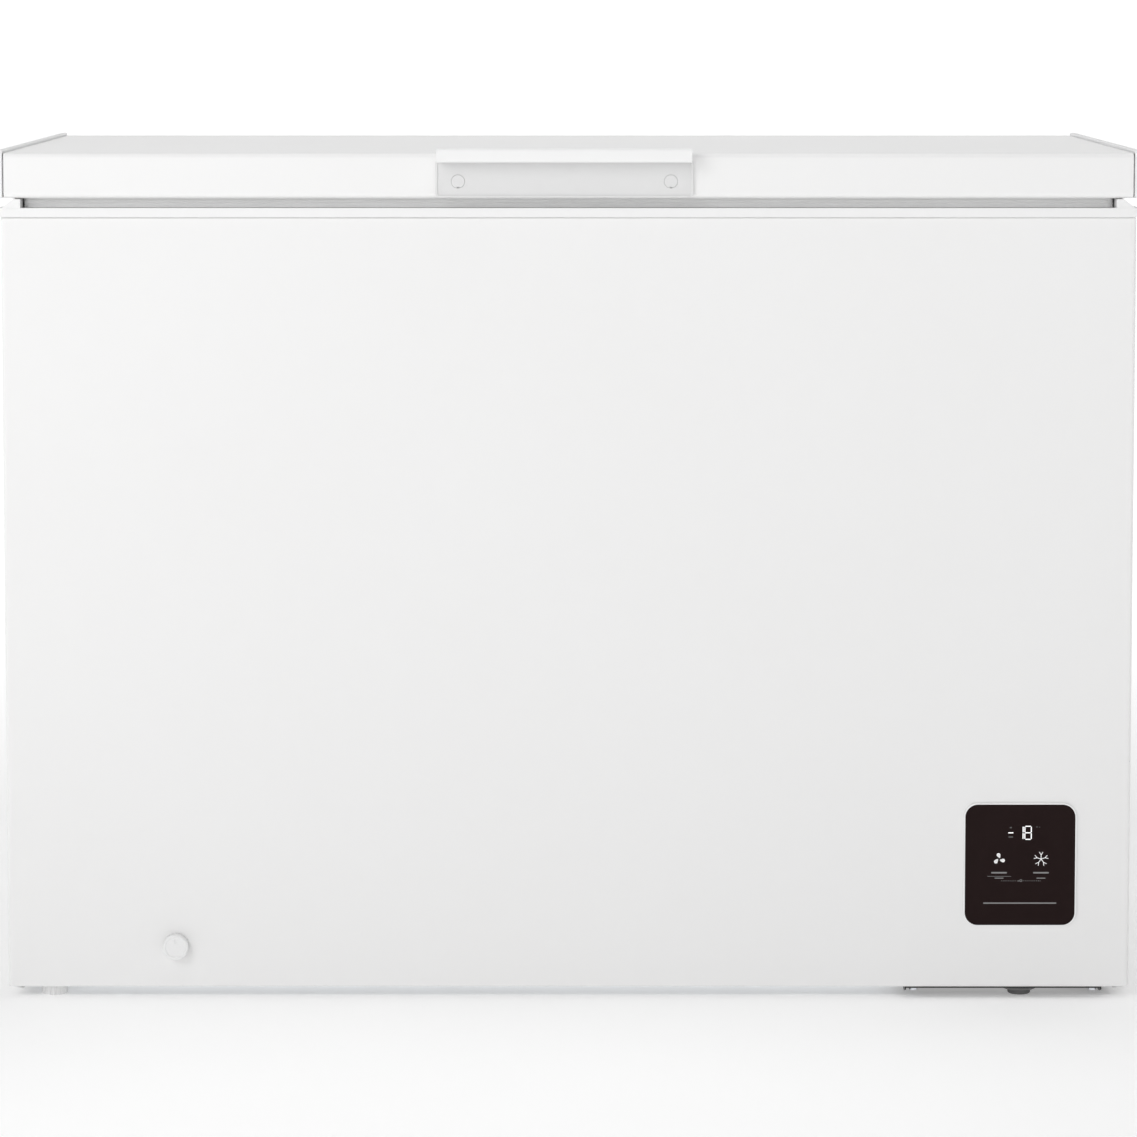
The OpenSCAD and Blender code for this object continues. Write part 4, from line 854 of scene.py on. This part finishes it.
def makeDrainDial():
    low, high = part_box("drain_dial")
    tipLow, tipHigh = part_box("drain_spout")
    x, z = (low.x + high.x) / 2, (low.z + high.z) / 2
    radius = (high.x - low.x) / 2
    piece = rod("drain_dial_cap", (x, high.y, z), (x, low.y, z), radius, 72)
    edit(piece)
    pickFaces(piece, lambda spot, normal: normal.y < -0.9)
    bpy.ops.mesh.inset(thickness=drain["face"])
    pickEdges(piece, lambda spot, way: abs(spot.y - low.y) < 0.01 * mm
              and math.hypot(spot.x - x, spot.z - z) > radius - 1 * mm)
    bevel(drain["shoulder"], 6)
    pickFaces(piece, lambda spot, normal: normal.y < -0.99 and math.hypot(spot.x - x, spot.z - z) < 1 * mm)
    bpy.ops.mesh.inset(thickness=0.8 * mm, depth=-drain["dish"])
    bpy.ops.object.mode_set(mode="OBJECT")
    grooves = []
    for place in range(drain["grooves"]):
        turn = math.radians(place * 360 / drain["grooves"])
        grooveX, grooveZ = x + (radius + 0.5 * mm) * math.cos(turn), z + (radius + 0.5 * mm) * math.sin(turn)
        grooves.append(rod("groove", (grooveX, low.y + 3 * mm, grooveZ), (grooveX, high.y + 0.01, grooveZ),
                           drain["groove"], 12))
    mark = block("mark", (x - 1 * mm, low.y - 0.01, z + 4 * mm), (x + 1 * mm, low.y + 1.4 * mm, z + 8 * mm))
    bore = rod("bore", (x, tipLow.y - 0.1 * mm, z), (x, high.y + 0.01, z),
               (tipHigh.x - tipLow.x) / 2 + 0.05 * mm)
    cut(piece, joinPieces("grooves", grooves), mark, bore)
    soften(piece, 0.25 * mm, 2, 50)
    mount(piece, "drain_dial", "drain_plastic", finishes["drain_plastic"], "drain_dial")


def makeDrainPlug():
    low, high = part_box("drain_plug")
    middle = (low + high) / 2
    x, y = middle.x, middle.y
    seat = high.z - drain["knobTall"]
    piece = rod("drain_stopper", (x, y, low.z), (x, y, seat), drain["plugShank"])
    weld(piece, rod("flange", (x, y, seat - 0.01 * mm), (x, y, seat + 3 * mm), drain["plugFlange"]))
    knob = rod("knob", (x, y, seat + 2 * mm), (x, y, high.z), drain["plugKnob"])
    edit(knob)
    pickFaces(knob, lambda spot, normal: normal.z > 0.9)
    bpy.ops.transform.resize(value=(1.38, 1.38, 1))
    bpy.ops.object.mode_set(mode="OBJECT")
    weld(piece, knob)
    soften(piece, 0.8 * mm, 4)
    mount(piece, "drain_plug", "drain_plastic", finishes["drain_plastic"], "drain_plug")


makeDrainDial()
makeDrainPlug()
print("drain made")


# feet

foot = {"flutes": 16, "fluteWidth": 3 * mm, "collar": 21 * mm, "pad": 11.4 * mm,
        "step": 3.4 * mm, "stud": 4 * mm, "plate": 1.5 * mm, "play": 0.3 * mm}


def makeFlutedFoot(name, node, body, skirtTop):
    low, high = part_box(node)
    x, y = (low.x + high.x) / 2, (low.y + high.y) / 2
    radius = (high.x - low.x) / 2
    piece = rod(name, (x, y, low.z), (x, y, skirtTop), radius, foot["flutes"] * 4)
    edit(piece)
    pickEdges(piece, lambda spot, way: abs(way.z) < 0.1 and spot.z < low.z + 0.1 * mm)
    bevel(1.2 * mm, 3)
    bpy.ops.object.mode_set(mode="OBJECT")
    grooves = []
    for flute in range(foot["flutes"]):
        turn = math.radians((flute + 0.5) * 360 / foot["flutes"])
        spot = Vector((x + (radius + 0.3 * mm) * math.cos(turn), y + (radius + 0.3 * mm) * math.sin(turn), 0))
        bottom, top = spot + Vector((0, 0, low.z - 0.01)), spot + Vector((0, 0, skirtTop - 1.2 * mm))
        grooves.append(rod("flute", bottom, top, foot["fluteWidth"] / 2, 16))
    cut(piece, joinPieces("flutes", grooves))
    weld(piece, rod("stud", (x, y, skirtTop - 1 * mm), (x, y, high.z), foot["stud"], 32))
    soften(piece, 0.3 * mm, 2, 50)
    mount(piece, body, "foot_white", finishes["foot_white"], node)


def makeSteppedFoot(name, node, body, collarTop):
    low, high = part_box(node)
    x, y = (low.x + high.x) / 2, (low.y + high.y) / 2
    tall = collarTop - low.z
    middle = foot["pad"] + foot["step"]
    piece = rod(name, (x, y, low.z), (x, y, low.z + 0.55 * tall), foot["pad"], 64)
    edit(piece)
    pickEdges(piece, lambda spot, way: spot.z < low.z + 0.1 * mm)
    bevel(1.8 * mm, 5)
    pickFaces(piece, lambda spot, normal: normal.z > 0.9)
    # each rise of the outline, and how much wider it gets there
    for rise, wider in ((0.01 * mm, middle / foot["pad"]), (0.45 * tall - 1 * mm, foot["collar"] / middle),
                        (0.99 * mm, 1)):
        bpy.ops.mesh.extrude_region_move(TRANSFORM_OT_translate={"value": (0, 0, rise)})
        bpy.ops.transform.resize(value=(wider, wider, 1))
    bpy.ops.object.mode_set(mode="OBJECT")
    weld(piece, rod("stud", (x, y, collarTop - 1 * mm), (x, y, high.z), foot["stud"], 32))
    soften(piece, 0.35 * mm, 3, 30)
    mount(piece, body, "foot_grey", finishes["foot_grey"], node)


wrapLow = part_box("cabinet_wrap")[0].z
plateLow = wrapLow - foot["plate"]
makeFlutedFoot("fluted_foot_front", "front_left_foot", "front_left_foot", wrapLow - foot["play"])
makeFlutedFoot("fluted_foot_rear", "rear_left_foot", "cabinet", wrapLow - foot["play"])
makeSteppedFoot("stepped_foot_front", "front_right_foot", "front_right_foot", plateLow - foot["play"])
makeSteppedFoot("stepped_foot_rear", "rear_right_foot", "cabinet", plateLow)
print("feet made")


# back

back = {"coverWide": 51 * mm, "coverWall": 1.5 * mm, "coverRound": 4 * mm, "slotWide": 84 * mm,
        "slotTall": 4 * mm, "slotGap": 10 * mm, "pitch": 14 * mm, "slotsFrom": 50 * mm, "slotsTo": 20 * mm,
        "hood": 1.8 * mm, "hoodTall": 3 * mm, "inlet": 9 * mm, "head": 4.2 * mm, "headTall": 2.6 * mm,
        "basePair": 61 * mm, "lidPair": 45 * mm}


def makeHingeCovers():
    low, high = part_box("hinge_covers")
    width = back["coverWide"]
    covers = []
    for left in (low.x, high.x - width):
        cover = block("cover", (left, low.y, low.z), (left + width, high.y, high.z))
        edit(cover)
        pickEdges(cover, lambda spot, way: spot.y > high.y - 1 * mm and abs(way.z) > 0.9)
        bevel(back["coverRound"], 6)
        pickEdges(cover, lambda spot, way: abs(way.z) < 0.1 and spot.z < low.z + 0.1 * mm
                  and spot.y > low.y + 0.1 * mm)
        bevel(2 * mm, 4)
        pickFaces(cover, lambda spot, normal: normal.y < -0.9 or normal.z > 0.9)
        bpy.ops.mesh.delete(type="FACE")
        bpy.ops.object.mode_set(mode="OBJECT")
        alter(cover, "SOLIDIFY", thickness=back["coverWall"], offset=-1)
        covers.append(cover)
    mount(joinPieces("hinge_cover_pair", covers), "cabinet", "frame_plastic", finishes["frame_plastic"],
          "hinge_covers")


def makeBayCover():
    low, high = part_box("bay_cover")
    inletLow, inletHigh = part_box("cord_inlet")
    piece = roundedBlock("bay_cover_grille", low, high, 5 * mm, 1)
    middle = (low.x + high.x) / 2
    wide, tall = back["slotWide"], back["slotTall"]
    slots, hoods = [], []
    z = low.z + back["slotsFrom"]
    while z < high.z - back["slotsTo"]:
        for left in (middle - back["slotGap"] / 2 - wide, middle + back["slotGap"] / 2):
            slots.append(block("slot", (left, low.y - 0.01, z), (left + wide, high.y + 0.01, z + tall)))
            hoodLow = z + tall - 0.4 * mm
            hood = block("hood", (left, high.y - 0.2 * mm, hoodLow),
                         (left + wide, high.y + back["hood"], hoodLow + back["hoodTall"]))
            edit(hood)
            pickEdges(hood, lambda spot, way: spot.y > high.y and (spot.z > z + tall or abs(way.z) > 0.9))
            bevel(1.5 * mm, 3)
            bpy.ops.object.mode_set(mode="OBJECT")
            hoods.append(hood)
        z += back["pitch"]
    inlet = (inletLow + inletHigh) / 2
    cut(piece, joinPieces("slots", slots),
        rod("inletHole", (inlet.x, low.y - 0.01, inlet.z), (inlet.x, high.y + 0.01, inlet.z), back["inlet"]))
    soften(piece, 0.3 * mm, 2)
    mount(joinPieces("bay_cover_grille", [piece, *hoods]), "cabinet", "galvanised_steel",
          finishes["galvanised_steel"], "bay_cover")


def makeScrew(name, place, way, radius, headHeight, length):
    # a pan head with a cross recess, on a shank; way points from the shank to the head
    place, way = Vector(place), Vector(way)
    head = rod(name, place, place + way * headHeight, radius, 32)
    edit(head)
    pickEdges(head, lambda spot, along: (spot - place).dot(way) > headHeight - 0.01 * mm)
    bevel(headHeight * 0.55, 4)
    bpy.ops.object.mode_set(mode="OBJECT")
    across = Vector((way.z, way.x, way.y))
    other = way.cross(across)
    blades = []
    for first, second in ((across, other), (other, across)):
        reach = first * radius * 0.6 + second * radius * 0.12
        near = place + way * headHeight * 0.45 - reach
        far = place + way * headHeight * 1.2 + reach
        blades.append(block("blade", Vector(map(min, near, far)), Vector(map(max, near, far))))
    cut(head, *blades)
    weld(head, rod("shank", place - way * length, place + way * 0.2 * mm, 2 * mm, 24))
    return head


def makeScrews(name, node, body, places, way, length=12 * mm):
    first = makeScrew(name, places[0], way, back["head"], back["headTall"], length)
    copies = [copyPiece(first, name, Vector(place) - Vector(places[0])) for place in places[1:]]
    mount(joinPieces(name, [first, *copies]), body, "zinc_steel", finishes["zinc_steel"], node)


def corners(node, inset):
    # the four places at the corners of a group of screws, seen from behind
    low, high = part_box(node)
    return [(x, high.y - back["headTall"], z) for x in (low.x + inset, high.x - inset)
            for z in (low.z + inset, high.z - inset)]


def makeBackScrews():
    makeScrews("bay_cover_screw_set", "bay_cover_screws", "cabinet",
               corners("bay_cover_screws", back["head"]), (0, 1, 0), length=6 * mm)
    for node, body, apart in (("hinge_base_screws", "cabinet", back["basePair"]),
                              ("hinge_lid_screws", "lid", back["lidPair"])):
        outer = corners(node, back["head"])
        inner = [(x - math.copysign(apart, x), y, z) for x, y, z in outer]
        makeScrews(node[:-1] + "_set", node, body, outer + inner, (0, 1, 0))


makeHingeCovers()
makeBayCover()
makeBackScrews()
print("back made")


# inside

basket = {"rimWire": 3 * mm, "hookWire": 2.5 * mm, "meshWire": 1.5 * mm, "corner": 20 * mm, "wireIn": 16 * mm,
          "sideWires": 15, "endWires": 8, "rows": 4, "lowestRow": 14 * mm, "highestRow": 40 * mm,
          "bend": 9 * mm, "hookBend": 4 * mm, "hookShare": 0.36}


def wire(name, points, radius, bend, closed=False):
    # a bent wire: a line through the points, its corners rounded, swept as a tube
    deselect()
    bpy.ops.mesh.primitive_plane_add(size=1)
    path = settle(name)
    mesh = bmesh.new()
    spots = [mesh.verts.new(point) for point in points]
    for first, second in zip(spots, spots[1:]):
        mesh.edges.new((first, second))
    if closed:
        mesh.edges.new((spots[-1], spots[0]))
    mesh.to_mesh(path.data)
    mesh.free()
    edit(path, "VERT")
    inner = points if closed else points[1:-1]
    pickPoints(path, lambda spot: any((spot - Vector(point)).length < 0.01 * mm for point in inner))
    bpy.ops.mesh.bevel(offset=bend, segments=6, affect="VERTICES")
    bpy.ops.object.mode_set(mode="OBJECT")
    bpy.ops.object.convert(target="CURVE")
    path.data.bevel_depth = radius
    path.data.bevel_resolution = 2
    path.data.use_fill_caps = True
    bpy.ops.object.convert(target="MESH")
    return bpy.context.object


def spread(first, last, count):
    return [first + (last - first) * place / (count - 1) for place in range(count)]


def makeBasket():
    low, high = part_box("basket_rim")
    wallLow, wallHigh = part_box("basket_side_walls")
    thick, thin = basket["rimWire"], basket["meshWire"]
    x0, x1 = wallLow.x + thin, wallHigh.x - thin
    endLow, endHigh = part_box("basket_end_walls")
    y0, y1 = endLow.y + thin, endHigh.y - thin
    rimZ = low.z + thick
    bottom = wallLow.z
    middle = (x0 + x1) / 2
    rim = wire("basket_rim_wire", [(x0, y0, rimZ), (x1, y0, rimZ), (x1, y1, rimZ), (x0, y1, rimZ)], thick,
               basket["corner"], True)
    hooks = []
    half = (x1 - x0) * basket["hookShare"]
    hangZ = high.z - basket["hookWire"]
    for y, out in ((y0, low.y + basket["hookWire"]), (y1, high.y - basket["hookWire"])):
        leftSide, rightSide = middle - half, middle + half
        hooks.append(wire("hook", [(leftSide, y, rimZ), (leftSide, y, hangZ), (leftSide, out, hangZ),
                                   (rightSide, out, hangZ), (rightSide, y, hangZ), (rightSide, y, rimZ)],
                          basket["hookWire"], basket["hookBend"]))
    mount(joinPieces("basket_rim_wire", [rim, *hooks]), "basket", "basket_wire", finishes["basket_wire"],
          "basket_rim")

    lap = 1.4 * thin
    near, far = basket["wireIn"], basket["bend"]
    across = [wire("across", [(x0, y, rimZ), (x0, y, bottom), (x1, y, bottom), (x1, y, rimZ)], thin, far)
              for y in spread(y0 + near, y1 - near, basket["sideWires"])]
    mount(joinPieces("basket_cross_wires", across), "basket", "basket_wire", finishes["basket_wire"],
          "basket_side_walls")
    along = [wire("along", [(x, y0, rimZ), (x, y0, bottom - lap), (x, y1, bottom - lap), (x, y1, rimZ)],
                  thin, far)
             for x in spread(x0 + near, x1 - near, basket["endWires"])]
    mount(joinPieces("basket_long_wires", along), "basket", "basket_wire", finishes["basket_wire"],
          "basket_end_walls", "basket_floor")
    hoops = [wire("hoop", [(x0 + lap, y0 + lap, z), (x1 - lap, y0 + lap, z), (x1 - lap, y1 - lap, z),
                           (x0 + lap, y1 - lap, z)], thin, basket["corner"] - lap, True)
             for z in spread(bottom + basket["lowestRow"], rimZ - basket["highestRow"], basket["rows"])]
    mount(joinPieces("basket_hoops", hoops), "basket", "basket_wire", finishes["basket_wire"])


makeBasket()
print("basket made")


# stage

view = {"height": 0.985, "away": 4.6, "lens": 149.4, "tilt": 5.25, "shift": -0.12}


def makeStage():
    deselect()
    bpy.ops.mesh.primitive_circle_add(vertices=96, radius=40, fill_type="NGON", location=(0, 0, -0.2 * mm))
    floor = settle("studio_floor")
    # the floor sweeps up a long way off, so that no edge shows behind the freezer
    edit(floor)
    pickEdges(floor, lambda spot, way: True)
    for rise, wider in ((0.6, 1.1), (3, 1.15), (9, 1.1)):
        bpy.ops.mesh.extrude_region_move(TRANSFORM_OT_translate={"value": (0, 0, rise)})
        bpy.ops.transform.resize(value=(wider, wider, 1))
    bpy.ops.object.mode_set(mode="OBJECT")
    bpy.ops.object.shade_smooth()
    ground = Finish("pale_studio_floor")
    tone = ground.mix(ground.noise(0.6, 3.0), shade(0.9), shade(0.93))
    # the floor's emission is painted light: dim within about a metre of the freezer, full far off, and a
    # painted glow under the freezer's footprint that lights the gap and the feet
    reach = ground.add("ShaderNodeVectorMath", {"operation": "LENGTH"},
                       {0: ground.spot((0.2, 0.2, 0.2))}, "Value")
    far = ground.ramp(reach, [(0.2, shade(0.31)), (0.7, shade(1.0))])
    footprint = ground.spot((1 / 0.6, 1 / 0.335, 1))
    sides = [ground.add("ShaderNodeSeparateXYZ", {}, {0: footprint}, out) for out in (0, 1)]
    across, along = [ground.add("ShaderNodeMath", {"operation": "ABSOLUTE"}, {0: side}) for side in sides]
    edge = ground.add("ShaderNodeMath", {"operation": "MAXIMUM"}, {0: across, 1: along})
    # painted glow beneath the freezer's footprint, fading out at its edges
    paintedUnderGlow = ground.ramp(edge, [(0.72, shade(1)), (0.9, shade(0))])
    glow = ground.mix(paintedUnderGlow, far, shade(0.62))
    floor.data.materials.append(ground.done({"Base Color": tone, "Roughness": 0.8, "Specular IOR Level": 0.2,
                                             "Emission Color": glow, "Emission Strength": 0.68}))

    world = bpy.data.worlds.new("studio")
    bpy.context.scene.world = world
    world.use_nodes = True
    world.node_tree.nodes["Background"].inputs["Color"].default_value = (1, 1, 1, 1)
    world.node_tree.nodes["Background"].inputs["Strength"].default_value = 0.4

    soft = [("key_light", (-2.6, -4.4, 2.6), 2.6, 27), ("side_light", (-1.75, -2.3, 1.9), 1.2, 13),
            ("top_light", (0.3, 0.4, 4.2), 3.0, 46)]
    for name, place, size, power in soft:
        deselect()
        aim = Vector((0, 0, 0.4)) - Vector(place)
        bpy.ops.object.light_add(type="AREA", location=place,
                                 rotation=aim.to_track_quat("-Z", "Y").to_euler())
        lamp = bpy.context.object
        lamp.name = name
        lamp.data.size = size
        lamp.data.energy = power

    bpy.ops.object.camera_add(location=(0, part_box("lid_skin")[0].y - view["away"], view["height"]),
                              rotation=(math.radians(90 - view["tilt"]), 0, 0))
    camera = bpy.context.object
    camera.data.lens = view["lens"]
    camera.data.shift_y = view["shift"]
    bpy.context.scene.camera = camera
    bpy.context.scene.view_settings.view_transform = "Standard"


makeStage()
print("stage made")
